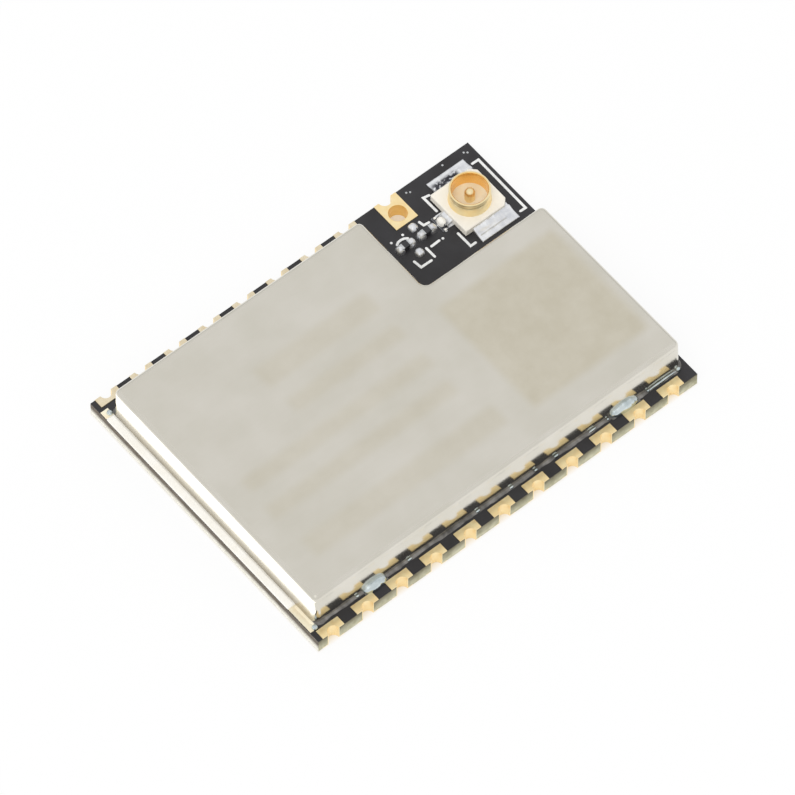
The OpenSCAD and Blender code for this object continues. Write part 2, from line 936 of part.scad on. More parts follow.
module controller_leads() {
    color("#c8c8c4")
        at_each([controller_spot])
            flat_leads(controller_side, controller_leads_side);
}

// antenna switch: three bent leads on each long side
module at_switch_leads() {
    for (turn = [0, 180])
        rotate(turn)
            for (i = [-1:1])
                translate([i * switch_lead_pitch, switch_w / 2, 0])
                    children();
}

module switch_lead() {
    mid = switch_gap + switch_h / 2;
    translate([-lead_w / 2, 0, 0])
        rotate([90, 0, 90])
            linear_extrude(lead_w)
                polygon([
                    [0, mid - switch_lead_t],
                    [switch_knee - switch_lead_t / 2, mid - switch_lead_t],
                    [switch_knee, 0],
                    [switch_reach, 0],
                    [switch_reach, switch_lead_t],
                    [switch_knee + switch_lead_t, switch_lead_t],
                    [switch_knee + switch_lead_t / 2, mid],
                    [0, mid]
                ]);
}

module switch_body() {
    color("#303034")
        at_each([switch_spot])
            translate([0, 0, switch_gap])
                block(switch_l, switch_w, switch_h);
}

module switch_leads() {
    color("#c8c8c4")
        at_each([switch_spot])
            at_switch_leads()
                switch_lead();
}

module switch_lands() {
    translate([0, 0, -plating_t])
        at_switch_leads()
            translate([-lead_w / 2, switch_knee, 0])
                cube([lead_w, switch_reach - switch_knee + land_reach, plating_t]);
}

// crystals: ceramic base with corner contacts below and a metal lid
module crystal_lid(l, w, h) {
    translate([0, 0, h - lid_h])
        block(l - 2 * lid_step, w - 2 * lid_step, lid_h);
}

module crystal_lands(l, w) {
    land_l = (l - crystal_gap_l) / 2;
    land_w = (w - crystal_gap_w) / 2;
    for (x = [-1, 1])
        for (y = [-1, 1])
            translate([x * (l - land_l) / 2, y * (w - land_w) / 2, -plating_t])
                block(land_l, land_w, plating_t);
}

module reference_crystal_base() {
    color("#8d8a84")
        at_each([reference_spot])
            block(reference_l, reference_w, reference_h - lid_h);
}

module reference_crystal_lid() {
    color("#d0cdc4")
        at_each([reference_spot])
            crystal_lid(reference_l, reference_w, reference_h);
}

module clock_crystal_base() {
    color("#8d8a84")
        at_each([clock_spot])
            block(clock_l, clock_w, clock_h - lid_h);
}

module clock_crystal_lid() {
    color("#d0cdc4")
        at_each([clock_spot])
            crystal_lid(clock_l, clock_w, clock_h);
}

module power_inductor() {
    color("#4b4a4a")
        at_each([power_spot])
            chip_part_body(power_l, power_w, power_h, power_cap);
}

module power_inductor_ends() {
    color("#d4d6d8")
        at_each([power_spot])
            chip_part_ends(power_l, power_w, power_h, power_cap);
}

module rf_inductors() {
    color("#5b6b78")
        at_each(inductor_spots)
            chip_part_body(chip_part_l, chip_part_w, inductor_h, chip_part_cap);
}

module rf_inductor_ends() {
    color("#d4d6d8")
        at_each(inductor_spots)
            chip_part_ends(chip_part_l, chip_part_w, inductor_h, chip_part_cap);
}

module capacitors() {
    color("#b59a72")
        at_each(capacitor_spots)
            chip_part_body(chip_part_l, chip_part_w, capacitor_h, chip_part_cap);
}

module capacitor_ends() {
    color("#d4d6d8")
        at_each(capacitor_spots)
            chip_part_ends(chip_part_l, chip_part_w, capacitor_h, chip_part_cap);
}

module resistors() {
    color("#26262a")
        at_each(resistor_spots)
            chip_part_body(chip_part_l, chip_part_w, resistor_h, chip_part_cap);
}

module resistor_ends() {
    color("#d4d6d8")
        at_each(resistor_spots)
            chip_part_ends(chip_part_l, chip_part_w, resistor_h, chip_part_cap);
}

module component_lands() {
    color("#dcc892") {
        at_each([transceiver_spot])
            flat_lands(transceiver_side, transceiver_leads_side);
        at_each([controller_spot])
            flat_lands(controller_side, controller_leads_side);
        at_each([switch_spot])
            switch_lands();
        at_each([reference_spot])
            crystal_lands(reference_l, reference_w);
        at_each([clock_spot])
            crystal_lands(clock_l, clock_w);
        at_each([power_spot])
            chip_part_lands(power_l, power_w, power_cap);
        at_each(concat(inductor_spots, capacitor_spots, resistor_spots))
            chip_part_lands(chip_part_l, chip_part_w, chip_part_cap);
    }
}

circuit_board();
front_edge_pads();
rear_edge_pads();
antenna_pad();
ground_land();
shield_can();
shield_solder();
connector_base();
connector_ring();
connector_contact();
connector_lands();
connector_solder();
matching_lands();
matching_chips();
matching_chip_ends();
component_lands();
transceiver_body();
transceiver_leads();
controller_body();
controller_leads();
switch_body();
switch_leads();
reference_crystal_base();
reference_crystal_lid();
clock_crystal_base();
clock_crystal_lid();
power_inductor();
power_inductor_ends();
rf_inductors();
rf_inductor_ends();
capacitors();
capacitor_ends();
resistors();
resistor_ends();
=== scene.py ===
import json
import math

import bmesh
import bpy
from mathutils import Matrix, Vector, noise


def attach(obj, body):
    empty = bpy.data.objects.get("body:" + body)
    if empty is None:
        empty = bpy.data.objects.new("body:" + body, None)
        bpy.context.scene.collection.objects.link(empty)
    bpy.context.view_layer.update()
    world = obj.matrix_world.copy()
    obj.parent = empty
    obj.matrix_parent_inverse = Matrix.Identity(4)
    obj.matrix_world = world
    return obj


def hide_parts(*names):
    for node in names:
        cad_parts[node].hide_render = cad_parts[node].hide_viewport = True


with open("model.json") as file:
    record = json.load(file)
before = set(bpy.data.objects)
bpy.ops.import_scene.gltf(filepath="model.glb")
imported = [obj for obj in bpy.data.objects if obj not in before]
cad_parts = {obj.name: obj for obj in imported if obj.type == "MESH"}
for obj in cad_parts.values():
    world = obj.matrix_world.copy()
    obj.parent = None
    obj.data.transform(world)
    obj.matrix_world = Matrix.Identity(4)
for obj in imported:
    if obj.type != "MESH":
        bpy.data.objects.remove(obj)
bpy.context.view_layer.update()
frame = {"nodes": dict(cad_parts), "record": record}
nodes = frame["nodes"]
scene = bpy.context.scene
mm = 0.001  # every shape below is in millimetres
landTop = 0.84  # height of the lands' upper faces
connectorAxis = (9.08, 5.545, 0.0)  # upright, through the coaxial connector
print("frame loaded:", len(nodes), "nodes")


# materials

def linear(hexCode):  # the sRGB curve
    channels = [int(hexCode[i:i + 2], 16) / 255 for i in (1, 3, 5)]
    return [c / 12.92 if c <= 0.04045 else ((c + 0.055) / 1.055) ** 2.4 for c in channels] + [1.0]


def addNode(tree, kind, settings=None, links=None):
    node = tree.nodes.new("ShaderNode" + kind)
    for key, value in (settings or {}).items():
        if isinstance(key, int) or key in node.inputs:
            node.inputs[key].default_value = value
        else:
            setattr(node, key, value)
    for key, source in (links or {}).items():
        tree.links.new(source, node.inputs[key])
    return node


def fromTo(ends):  # settings for none at the first end and full at the last
    return {"From Min": ends[0], "From Max": ends[1]}


def startMaterial(name):
    material = bpy.data.materials.new(name)
    material.use_nodes = True
    tree = material.node_tree
    tree.nodes.clear()
    where = addNode(tree, "TexCoord")
    place = addNode(tree, "Mapping", {"Scale": [1 / mm] * 3}, {"Vector": where.outputs["Object"]})
    return material, tree, place.outputs[0]


# the part of the noise's range that runs from one tone or roughness to the other
noiseLook = {"tone": (0.32, 0.68), "toneDetail": 3.0, "grain": (0.3, 0.7), "grainDetail": 2.0}


# two tones in soft patches, and a grain that moves roughness and height
# the real grain of mask, ink, tin and gold is too fine to show, so it is drawn about 0.1 mm wide
def layFinish(tree, place, finish):
    patches = addNode(tree, "TexNoise", {"Scale": 1 / finish["patchMm"], "Detail": noiseLook["toneDetail"]},
                      {"Vector": place})
    spread = addNode(tree, "MapRange", fromTo(noiseLook["tone"]), {"Value": patches.outputs[0]})
    tone = addNode(tree, "Mix", {"data_type": "RGBA", 6: linear(finish["deep"]), 7: linear(finish["pale"])},
                   {0: spread.outputs[0]})
    stretch = addNode(tree, "Mapping", {"Scale": [1 / size for size in finish["grainMm"]]}, {"Vector": place})
    grain = addNode(tree, "TexNoise", {"Scale": 1.0, "Detail": noiseLook["grainDetail"]},
                    {"Vector": stretch.outputs[0]})
    low, high = finish["roughness"]
    rough = addNode(tree, "MapRange", {**fromTo(noiseLook["grain"]), "To Min": low, "To Max": high},
                    {"Value": grain.outputs[0]})
    height = addNode(tree, "Math", {"operation": "MULTIPLY", 1: finish["heightMm"]}, {0: grain.outputs[0]})
    return tone.outputs[2], rough.outputs[0], height.outputs[0]


mixSockets = (("RGBA", 6, 7, 2), ("FLOAT", 2, 3, 0), ("FLOAT", 2, 3, 0))  # for colour, roughness and height


def blendFinish(tree, mask, first, second):
    mixed = []
    for (kind, a, b, out), one, two in zip(mixSockets, first, second):
        mix = addNode(tree, "Mix", {"data_type": kind}, {0: mask, a: one, b: two})
        mixed.append(mix.outputs[out])
    return mixed


def coat(tree, place, mask, under, finish):  # lays a finish over the one under it, where the mask is full
    return blendFinish(tree, mask, under, layFinish(tree, place, finish))


def fieldMask(tree, spot, fields, soft):  # soft rectangles of (centre x, centre y, half x, half y, strength)
    mask = None
    for centreX, centreY, halfX, halfY, strength in fields:
        sides = []
        for axis, centre, half in ((0, centreX, halfX), (1, centreY, halfY)):
            off = addNode(tree, "Math", {"operation": "SUBTRACT", 1: centre}, {0: spot.outputs[axis]})
            away = addNode(tree, "Math", {"operation": "ABSOLUTE"}, {0: off.outputs[0]})
            edge = {"interpolation_type": "SMOOTHSTEP", **fromTo((half + soft, half - soft))}
            sides.append(addNode(tree, "MapRange", edge, {"Value": away.outputs[0]}).outputs[0])
        both = addNode(tree, "Math", {"operation": "MULTIPLY"}, {0: sides[0], 1: sides[1]})
        field = addNode(tree, "Math", {"operation": "MULTIPLY", 1: strength}, {0: both.outputs[0]}).outputs[0]
        if mask is not None:
            field = addNode(tree, "Math", {"operation": "MAXIMUM"}, {0: mask, 1: field}).outputs[0]
        mask = field
    return mask


def roundMask(tree, place, centre, edgeMm):  # full inside a circle seen from above, none outside it
    flat = addNode(tree, "VectorMath", {"operation": "MULTIPLY", 1: (1, 1, 0)}, {0: place})
    away = addNode(tree, "VectorMath", {"operation": "DISTANCE", 1: centre}, {0: flat.outputs[0]})
    return addNode(tree, "MapRange", fromTo(edgeMm), {"Value": away.outputs["Value"]}).outputs[0]


def facingOf(tree):  # the way that the surface faces, as X, Y and Z
    return addNode(tree, "SeparateXYZ", links={0: addNode(tree, "NewGeometry").outputs["Normal"]})


def closeMaterial(material, tree, finish, settings):
    colour, roughness, height = finish
    bump = addNode(tree, "Bump", {"Distance": mm}, {"Height": height})
    shader = addNode(tree, "BsdfPrincipled", settings,
                     {"Base Color": colour, "Roughness": roughness, "Normal": bump.outputs[0]})
    addNode(tree, "OutputMaterial", links={"Surface": shader.outputs[0]})
    return material


def plainMaterial(name, finish, settings):
    material, tree, place = startMaterial(name)
    return closeMaterial(material, tree, layFinish(tree, place, finish), settings)


metal = {"Metallic": 1.0}
softGold = {"Metallic": 0.65}  # the thin plating scatters some of the light
mostlyDiffuse = {"Metallic": 0.3}  # metal under a mostly diffuse skin
highlightDiffuse = {"Metallic": 0.2, "IOR": 1.5}  # mostly diffuse, for the painted cream-white highlight
lacquered = {"Metallic": 0.0, "IOR": 1.5}
moulded = {"Metallic": 0.0, "IOR": 1.55}
fired = {"Metallic": 0.0, "IOR": 1.7}

# nickel-silver sheet, rolled and drawn: a satin warm-grey top, walls and bends polished by the die
shieldLook = {
    "top": {"pale": "#E1DDD3", "deep": "#DAD6CA", "patchMm": 2.6, "grainMm": (0.9, 0.14, 0.3),
            "roughness": (0.34, 0.42), "heightMm": 0.0011},
    "wall": {"pale": "#E1DDD3", "deep": "#DAD6CA", "patchMm": 1.8, "grainMm": (0.5, 0.5, 0.25),
             "roughness": (0.13, 0.19), "heightMm": 0.0006},
    # plain fields that a laser's heat left a shade browner and rougher
    "browned": {"pale": "#DAD3C0", "deep": "#D1C9B3", "patchMm": 1.1, "grainMm": [0.16] * 3,
                "roughness": (0.4, 0.5), "heightMm": 0.0012},
    # painted shade on the foot of the left wall, where it reflects the shaded board: greyer and duller
    "footShade": {"pale": "#C3BDB0", "deep": "#B4AEA1", "patchMm": 0.8, "grainMm": (0.4, 0.4, 0.2),
                "roughness": (0.28, 0.36), "heightMm": 0.0006},
    "footShadeMm": (1.9, 1.1), "footShadeFacing": (-0.7, -0.95),
    "flat": (0.9, 0.995),  # the normal's Z at which the bend passes into the top
    "bulge": -0.046, "bulgeUpMm": 1.6,  # drawn walls round off with the square of the height
    # centre, half size and strength of each plain field
    "fields": ((6.84, -2.355, 3.38, 3.43, 0.7), (-1.84, 3.275, 3.3, 0.62, 0.4),
               (-1.74, 1.275, 3.2, 0.42, 0.4), (-3.89, -0.725, 5.35, 0.42, 0.4),
               (-3.99, -2.525, 5.35, 0.42, 0.4), (-3.54, -5.025, 5.6, 0.6, 0.4)),
    "fieldSoftMm": 0.3,
}


def drawnNickelSilver(look):
    material, tree, place = startMaterial("NickelSilver_drawnSheet")
    facing = facingOf(tree)
    spot = addNode(tree, "SeparateXYZ", links={0: place})
    flat = addNode(tree, "MapRange", fromTo(look["flat"]), {"Value": facing.outputs[2]})
    sheet = coat(tree, place, flat.outputs[0], layFinish(tree, place, look["wall"]), look["top"])
    # painted shade: the left wall's foot is drawn greyer
    low = addNode(tree, "MapRange", fromTo(look["footShadeMm"]), {"Value": spot.outputs[2]})
    left = addNode(tree, "MapRange", fromTo(look["footShadeFacing"]), {"Value": facing.outputs[0]})
    shadedFoot = addNode(tree, "Math", {"operation": "MULTIPLY"}, {0: low.outputs[0], 1: left.outputs[0]})
    sheet = coat(tree, place, shadedFoot.outputs[0], sheet, look["footShade"])
    browned = fieldMask(tree, spot, look["fields"], look["fieldSoftMm"])
    onTop = addNode(tree, "Math", {"operation": "MULTIPLY"}, {0: browned, 1: flat.outputs[0]})
    colour, roughness, height = coat(tree, place, onTop.outputs[0], sheet, look["browned"])
    rise = addNode(tree, "Math", {"operation": "SUBTRACT", 1: landTop}, {0: spot.outputs[2]})
    wall = addNode(tree, "Math", {"operation": "MINIMUM", 1: look["bulgeUpMm"]}, {0: rise.outputs[0]})
    square = addNode(tree, "Math", {"operation": "MULTIPLY"}, {0: wall.outputs[0], 1: wall.outputs[0]})
    drawn = addNode(tree, "Math", {"operation": "MULTIPLY_ADD", 1: look["bulge"]},
                    {0: square.outputs[0], 2: height})
    return closeMaterial(material, tree, (colour, roughness, drawn.outputs[0]), metal)


# glass-epoxy laminate under black solder mask: a soft gloss on the faces, greenish tan cloth at sawn edges
sawnCloth = {"patchMm": 0.35, "grainMm": (0.55, 0.55, 0.09), "roughness": (0.6, 0.8), "heightMm": 0.012}
boardLook = {
    "mask": {"pale": "#29282B", "deep": "#1F1D1F", "patchMm": 1.2, "grainMm": [0.16] * 3,
             "roughness": (0.32, 0.46), "heightMm": 0.0022},
    "edge": {"pale": "#D3D0B6", "deep": "#B3AF90", **sawnCloth},
    # the cloth is browner towards the top of the edges; the end faces are dark brown above and near white at
    # the foot, the near-white foot painted light, as if strongly lit
    "upperBrown": {"pale": "#645C3E", "deep": "#4A432A", **sawnCloth},
    "end": {"pale": "#4E412F", "deep": "#3F3424", **sawnCloth},
    "litEndFoot": {"pale": "#F0EEE4", "deep": "#E2DFD1", **sawnCloth},
    "upperBrownMm": (0.15, 0.85), "endMm": (0.05, 0.5),
    "maskMm": (0.782, 0.792),  # the lacquer's line at the top of the edges
    "face": (0.4, 0.6),  # the normal's Z at which an edge passes into a face
}


def maskedLaminate(look):
    material, tree, place = startMaterial("GlassEpoxy_blackMask")
    facing = facingOf(tree)
    spot = addNode(tree, "SeparateXYZ", links={0: place})
    endwise, upright = (addNode(tree, "Math", {"operation": "ABSOLUTE"}, {0: facing.outputs[axis]})
                        for axis in (0, 2))
    film, upperBrownShare, upper = (addNode(tree, "MapRange", fromTo(look[name]), {"Value": spot.outputs[2]})
                           for name in ("maskMm", "upperBrownMm", "endMm"))
    face = addNode(tree, "MapRange", fromTo(look["face"]), {"Value": upright.outputs[0]})
    covered = addNode(tree, "Math", {"operation": "MAXIMUM"}, {0: face.outputs[0], 1: film.outputs[0]})
    # painted light: the end faces' foot is drawn near white
    ends = coat(tree, place, upper.outputs[0], layFinish(tree, place, look["litEndFoot"]), look["end"])
    cloth = coat(tree, place, upperBrownShare.outputs[0], layFinish(tree, place, look["edge"]), look["upperBrown"])
    cloth = blendFinish(tree, endwise.outputs[0], cloth, ends)
    skin = coat(tree, place, covered.outputs[0], cloth, look["mask"])
    return closeMaterial(material, tree, skin, lacquered)


# immersion gold over nickel and copper: pale, soft gold with the copper's fine grain under it
padLook = {
    "bright": {"pale": "#FEEBBA", "deep": "#FCE0A6", "patchMm": 0.4, "grainMm": [0.09] * 3,
               "roughness": (0.28, 0.36), "heightMm": 0.0007},
    # painted shade from the shield's wall: the front row's inner half is drawn duller and darker
    "canShaded": {"pale": "#E4D4A6", "deep": "#DBC28F", "patchMm": 0.3, "grainMm": [0.09] * 3,
               "roughness": (0.28, 0.4), "heightMm": 0.0007},
    "canShadedMm": ((-8.05, -7.82), (-7.0, -7.3)),
    # the rear row's lands are drawn paler: a painted reflection of the white floor behind them
    "rear": {"pale": "#F1E5CA", "deep": "#E7D7B6", "patchMm": 0.4, "grainMm": [0.09] * 3,
             "roughness": (0.3, 0.42), "heightMm": 0.0007},
    "rearFields": ((-3.27, 7.95, 8.1, 0.5, 1.0),), "rearSoftMm": 0.05,
    "up": (0.3, 0.7),  # both are on the lands' tops and leave the half-holes bright
    # the wall of the antenna hole is drawn a deeper yellow: painted shade and reflection of the gold around
    # it
    "hole": {"pale": "#FDDA8C", "deep": "#F5CD78", "patchMm": 0.4, "grainMm": (0.2, 0.2, 0.05),
             "roughness": (0.28, 0.36), "heightMm": 0.0007},
    "holeCentre": (6.17, 7.205, 0.0), "holeMm": (0.47, 0.455),
}


def immersionGold(look):
    material, tree, place = startMaterial("Gold_immersion")
    spot = addNode(tree, "SeparateXYZ", links={0: place})
    up = addNode(tree, "MapRange", fromTo(look["up"]), {"Value": facingOf(tree).outputs[2]}).outputs[0]
    canShaded = up
    for ends in look["canShadedMm"]:
        side = addNode(tree, "MapRange", fromTo(ends), {"Value": spot.outputs[1]})
        canShaded = addNode(tree, "Math", {"operation": "MULTIPLY"}, {0: canShaded, 1: side.outputs[0]}).outputs[0]
    skin = coat(tree, place, canShaded, layFinish(tree, place, look["bright"]), look["canShaded"])
    row = fieldMask(tree, spot, look["rearFields"], look["rearSoftMm"])
    rear = addNode(tree, "Math", {"operation": "MULTIPLY"}, {0: row, 1: up})
    skin = coat(tree, place, rear.outputs[0], skin, look["rear"])
    inside = roundMask(tree, place, look["holeCentre"], look["holeMm"])
    skin = coat(tree, place, inside, skin, look["hole"])
    return closeMaterial(material, tree, skin, softGold)


# tinned ground land, dark grey along the shield's foot; bare gold on the strip at the left, drawn near white,
# its paleness a painted highlight
landLook = {
    "tinned": {"pale": "#8A8783", "deep": "#4C4A47", "patchMm": 0.45, "grainMm": [0.12] * 3,
               "roughness": (0.28, 0.45), "heightMm": 0.002},
    "strip": {"pale": "#FDF6DD", "deep": "#FCECCA", "patchMm": 0.4, "grainMm": [0.09] * 3,
              "roughness": (0.28, 0.4), "heightMm": 0.0009},
    "stripToMm": (-10.72, -10.69),
}


def darkTinnedLand(look):
    material, tree, place = startMaterial("Tin_darkGreyLand")
    spot = addNode(tree, "SeparateXYZ", links={0: place})
    beyond = addNode(tree, "MapRange", fromTo(look["stripToMm"]), {"Value": spot.outputs[0]})
    skin = coat(tree, place, beyond.outputs[0], layFinish(tree, place, look["strip"]), look["tinned"])
    return closeMaterial(material, tree, skin, mostlyDiffuse)


# tin solder, reflowed: bright and cool, with the slow waves of a skin that froze
solderLook = {"pale": "#DCE5E6", "deep": "#BFCBCE", "patchMm": 0.45, "grainMm": [0.16] * 3,
              "roughness": (0.12, 0.26), "heightMm": 0.006}
# solder drawn as a smooth cream-white skin with little shine: a painted highlight of the bright light on it
litSolderLook = {"pale": "#FFFDF7", "deep": "#FCF8EE", "patchMm": 0.9, "grainMm": (0.2, 0.5, 0.2),
                "roughness": (0.35, 0.5), "heightMm": 0.002}
# solder smeared thin on the lands: pale silver with faint streaks
smearLook = {
    "skin": {"pale": "#FCFDFE", "deep": "#DDDFE4", "patchMm": 0.4, "grainMm": (0.1, 0.22, 0.1),
             "roughness": (0.28, 0.4), "heightMm": 0.007},
    # charcoal specks on the film behind the moulding and at the signal leg
    "charcoal": {"pale": "#5A5A60", "deep": "#333338", "patchMm": 0.1, "grainMm": [0.08] * 3,
              "roughness": (0.3, 0.5), "heightMm": 0.004},
    "speckMm": 0.16, "specks": (0.37, 0.49),
    "fields": ((8.95, 7.06, 0.72, 0.26, 1.0), (7.32, 5.545, 0.24, 0.5, 1.0)), "fieldSoftMm": 0.14,
}


def smearedSolder(look):
    material, tree, place = startMaterial("TinSolder_smeared")
    spot = addNode(tree, "SeparateXYZ", links={0: place})
    flecks = addNode(tree, "TexNoise", {"Scale": 1 / look["speckMm"], "Detail": noiseLook["grainDetail"]},
                     {"Vector": place})
    specks = addNode(tree, "MapRange", fromTo(look["specks"]), {"Value": flecks.outputs[0]})
    charcoal = fieldMask(tree, spot, look["fields"], look["fieldSoftMm"])
    share = addNode(tree, "Math", {"operation": "MULTIPLY"}, {0: specks.outputs[0], 1: charcoal})
    skin = coat(tree, place, share.outputs[0], layFinish(tree, place, look["skin"]), look["charcoal"])
    return closeMaterial(material, tree, skin, metal)


# liquid-crystal polymer, moulded: cream, eggshell, faint flow marks
mouldingLook = {
    "skin": {"pale": "#F8F3E8", "deep": "#F1EBDE", "patchMm": 0.8, "grainMm": [0.12] * 3,
             "roughness": (0.42, 0.55), "heightMm": 0.002},
    # painted reflected light: inside the ring the moulding has a golden cast from the gold around it
    "well": {"pale": "#FFF8E0", "deep": "#FEEECA", "patchMm": 0.5, "grainMm": [0.12] * 3,
             "roughness": (0.3, 0.42), "heightMm": 0.002},
    "wellMm": (0.88, 0.84),
}


def mouldedPolymer(look):
    material, tree, place = startMaterial("LiquidCrystalPolymer_moulded")
    inside = roundMask(tree, place, connectorAxis, look["wellMm"])
    skin = coat(tree, place, inside, layFinish(tree, place, look["skin"]), look["well"])
    return closeMaterial(material, tree, skin, moulded)


# gold on phosphor bronze, deep drawn: warm gold with rings left by the tool
ringLook = {
    "outside": {"pale": "#FFEFC4", "deep": "#FEE5AC", "patchMm": 0.7, "grainMm": (2.5, 2.5, 0.06),
                "roughness": (0.36, 0.46), "heightMm": 0.0006},
    # the bore is drawn a deeper, redder gold: painted shade and reflection of the gold around it
    "bore": {"pale": "#FED48A", "deep": "#F5C572", "patchMm": 0.7, "grainMm": (2.5, 2.5, 0.06),
             "roughness": (0.16, 0.26), "heightMm": 0.0006},
    "inward": (0.0, -0.5),  # how far the normal turns to the axis
}


def drawnGold(look):
    material, tree, place = startMaterial("GoldOnBronze_drawn")
    off = addNode(tree, "VectorMath", {"operation": "SUBTRACT", 1: connectorAxis}, {0: place})
    flat = addNode(tree, "VectorMath", {"operation": "MULTIPLY", 1: (1, 1, 0)}, {0: off.outputs[0]})
    outward = addNode(tree, "VectorMath", {"operation": "NORMALIZE"}, {0: flat.outputs[0]})
    normal = addNode(tree, "NewGeometry").outputs["Normal"]
    facing = addNode(tree, "VectorMath", {"operation": "DOT_PRODUCT"}, {0: outward.outputs[0], 1: normal})
    inside = addNode(tree, "MapRange", fromTo(look["inward"]), {"Value": facing.outputs["Value"]})
    skin = coat(tree, place, inside.outputs[0], layFinish(tree, place, look["outside"]), look["bore"])
    return closeMaterial(material, tree, skin, metal)


# screen-printed epoxy ink: flat white with a slightly broken film
inkLook = {"pale": "#F6F6F4", "deep": "#E3E4E4", "patchMm": 0.3, "grainMm": [0.06] * 3,
           "roughness": (0.5, 0.65), "heightMm": 0.003}
# epoxy moulding compound: charcoal with silica specks and a fine eroded-mould texture
epoxyLook = {"pale": "#333337", "deep": "#29292C", "patchMm": 0.5, "grainMm": [0.06] * 3,
             "roughness": (0.45, 0.62), "heightMm": 0.003}
# matt tin plating: even silver grey with a frosted grain
tinLook = {"pale": "#DADCDD", "deep": "#C3C6C8", "patchMm": 0.4, "grainMm": [0.05] * 3,
           "roughness": (0.3, 0.45), "heightMm": 0.002}
# alumina, pressed and fired grey: dull with sintered specks
ceramicLook = {"pale": "#97948D", "deep": "#7F7C76", "patchMm": 0.25, "grainMm": [0.05] * 3,
               "roughness": (0.5, 0.65), "heightMm": 0.003}
# nickel-plated lid, seam welded: bright with a faint rolling grain
lidLook = {"pale": "#DEDBD2", "deep": "#CFCBC0", "patchMm": 0.9, "grainMm": (0.8, 0.06, 0.06),
           "roughness": (0.28, 0.36), "heightMm": 0.001}
# ferrite, pressed and sintered: near black with a dry grain
ferriteLook = {"pale": "#504F4E", "deep": "#403F3F", "patchMm": 0.3, "grainMm": [0.07] * 3,
               "roughness": (0.6, 0.75), "heightMm": 0.005}
# low-fire ceramic of the small inductors: slate blue, slightly glazed
slateLook = {"pale": "#64747F", "deep": "#52626D", "patchMm": 0.3, "grainMm": [0.05] * 3,
             "roughness": (0.35, 0.5), "heightMm": 0.002}
# barium titanate of the capacitors, fired: tan, fine and dry
titanateLook = {"pale": "#BEA37A", "deep": "#A98D65", "patchMm": 0.3, "grainMm": [0.05] * 3,
                "roughness": (0.45, 0.6), "heightMm": 0.002}

shieldSheet = drawnNickelSilver(shieldLook)
laminate = maskedLaminate(boardLook)
groundTin = darkTinnedLand(landLook)
padGold = immersionGold(padLook)
solder = plainMaterial("TinSolder_reflowed", solderLook, metal)
smear = smearedSolder(smearLook)
litSolder = plainMaterial("TinSolder_paintedHighlight", litSolderLook, highlightDiffuse)
moulding = mouldedPolymer(mouldingLook)
ringGold = drawnGold(ringLook)
ink = plainMaterial("EpoxyInk_printed", inkLook, moulded)
epoxy = plainMaterial("Epoxy_moulded", epoxyLook, moulded)
tin = plainMaterial("Tin_mattPlated", tinLook, metal)
ceramic = plainMaterial("Alumina_fired", ceramicLook, fired)
lidPlate = plainMaterial("NickelPlate_rolled", lidLook, metal)
ferrite = plainMaterial("Ferrite_sintered", ferriteLook, fired)
slate = plainMaterial("InductorCeramic_fired", slateLook, fired)
titanate = plainMaterial("BariumTitanate_fired", titanateLook, fired)

slotMaterials = {
    "laminate": laminate, "gold_plating": padGold, "shield_sheet": shieldSheet, "solder": solder,
    "connector_moulding": moulding, "connector_gold": ringGold, "chip_moulding": epoxy, "tinned_ends": tin,
    "crystal_ceramic": ceramic, "crystal_lid": lidPlate, "ferrite": ferrite, "inductor_ceramic": slate,
    "capacitor_ceramic": titanate,
}
ownMaterials = {"ground_land": groundTin, "connector_lands": smear}
for part in frame["record"]["subparts"]:
    node = nodes[part["node"]]
    node.data.materials.clear()
    node.data.materials.append(ownMaterials.get(part["node"], slotMaterials[part["material_slot"]]))
print("materials:", len(bpy.data.materials))


# shapes

def makePiece(name, shells, material, sharpAngle=45):
    points, faces = [], []
    for shellPoints, shellFaces in shells:
        start = len(points)
        points += shellPoints
        faces += [[start + i for i in face] for face in shellFaces]
    mesh = bpy.data.meshes.new(name)
    mesh.from_pydata([[c * mm for c in point] for point in points], [], faces)
    build = bmesh.new()
    build.from_mesh(mesh)
    bmesh.ops.recalc_face_normals(build, faces=build.faces)
    build.to_mesh(mesh)
    build.free()
    mesh.materials.append(material)
    mesh.shade_smooth()
    mesh.set_sharp_from_angle(angle=math.radians(sharpAngle))
    piece = bpy.data.objects.new(name, mesh)
    scene.collection.objects.link(piece)
    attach(piece, "root")
    return piece


def clamp(value, low=0.0, high=1.0):
    return min(max(value, low), high)


def ripple(x, y, size, seed):
    return noise.noise(Vector((x / size, y / size, seed)))


def swellAt(x, y, waves, seed=0.0):  # 1, raised or lowered by each wave of (share, size, seed)
    swell = 1
    for share, size, shift in waves:
        swell += share * ripple(x, y, size, seed + shift)
    return swell


def edgeFall(distance, width):  # 0 at a film's edge, 1 from a width inside it
    t = clamp(distance / width)
    return math.sqrt(t * (2 - t))


def loft(loops, closed=False):  # skin over a row of loops, capped at its ends unless it closes on itself
    count = len(loops[0])
    points = [p for loop in loops for p in loop]
    rows = len(loops)
    faces = []
    for i in range(rows if closed else rows - 1):
        for j in range(count):
            a, b = i * count + j, i * count + (j + 1) % count
            shift = ((i + 1) % rows - i) * count
            faces.append((a, b, b + shift, a + shift))
    if not closed:
        faces.append(tuple(reversed(range(count))))
        faces.append(tuple(range((rows - 1) * count, rows * count)))
    return points, faces


def lathe(profile, centre, turns):  # a closed profile of (radius, height) turned about an upright axis
    loops = []
    for i in range(turns):
        angle = 2 * math.pi * i / turns
        c, s = math.cos(angle), math.sin(angle)
        loops.append([(centre[0] + r * c, centre[1] + r * s, z) for r, z in profile])
    return loft(loops, closed=True)


def arc(centre, radius, start, end, steps):
    angles = [math.radians(start + (end - start) * i / steps) for i in range(steps + 1)]
    return [(centre[0] + radius * math.cos(a), centre[1] + radius * math.sin(a)) for a in angles]


def prism(outline, low, high):
    return loft([[(x, y, low) for x, y in outline], [(x, y, high) for x, y in outline]])


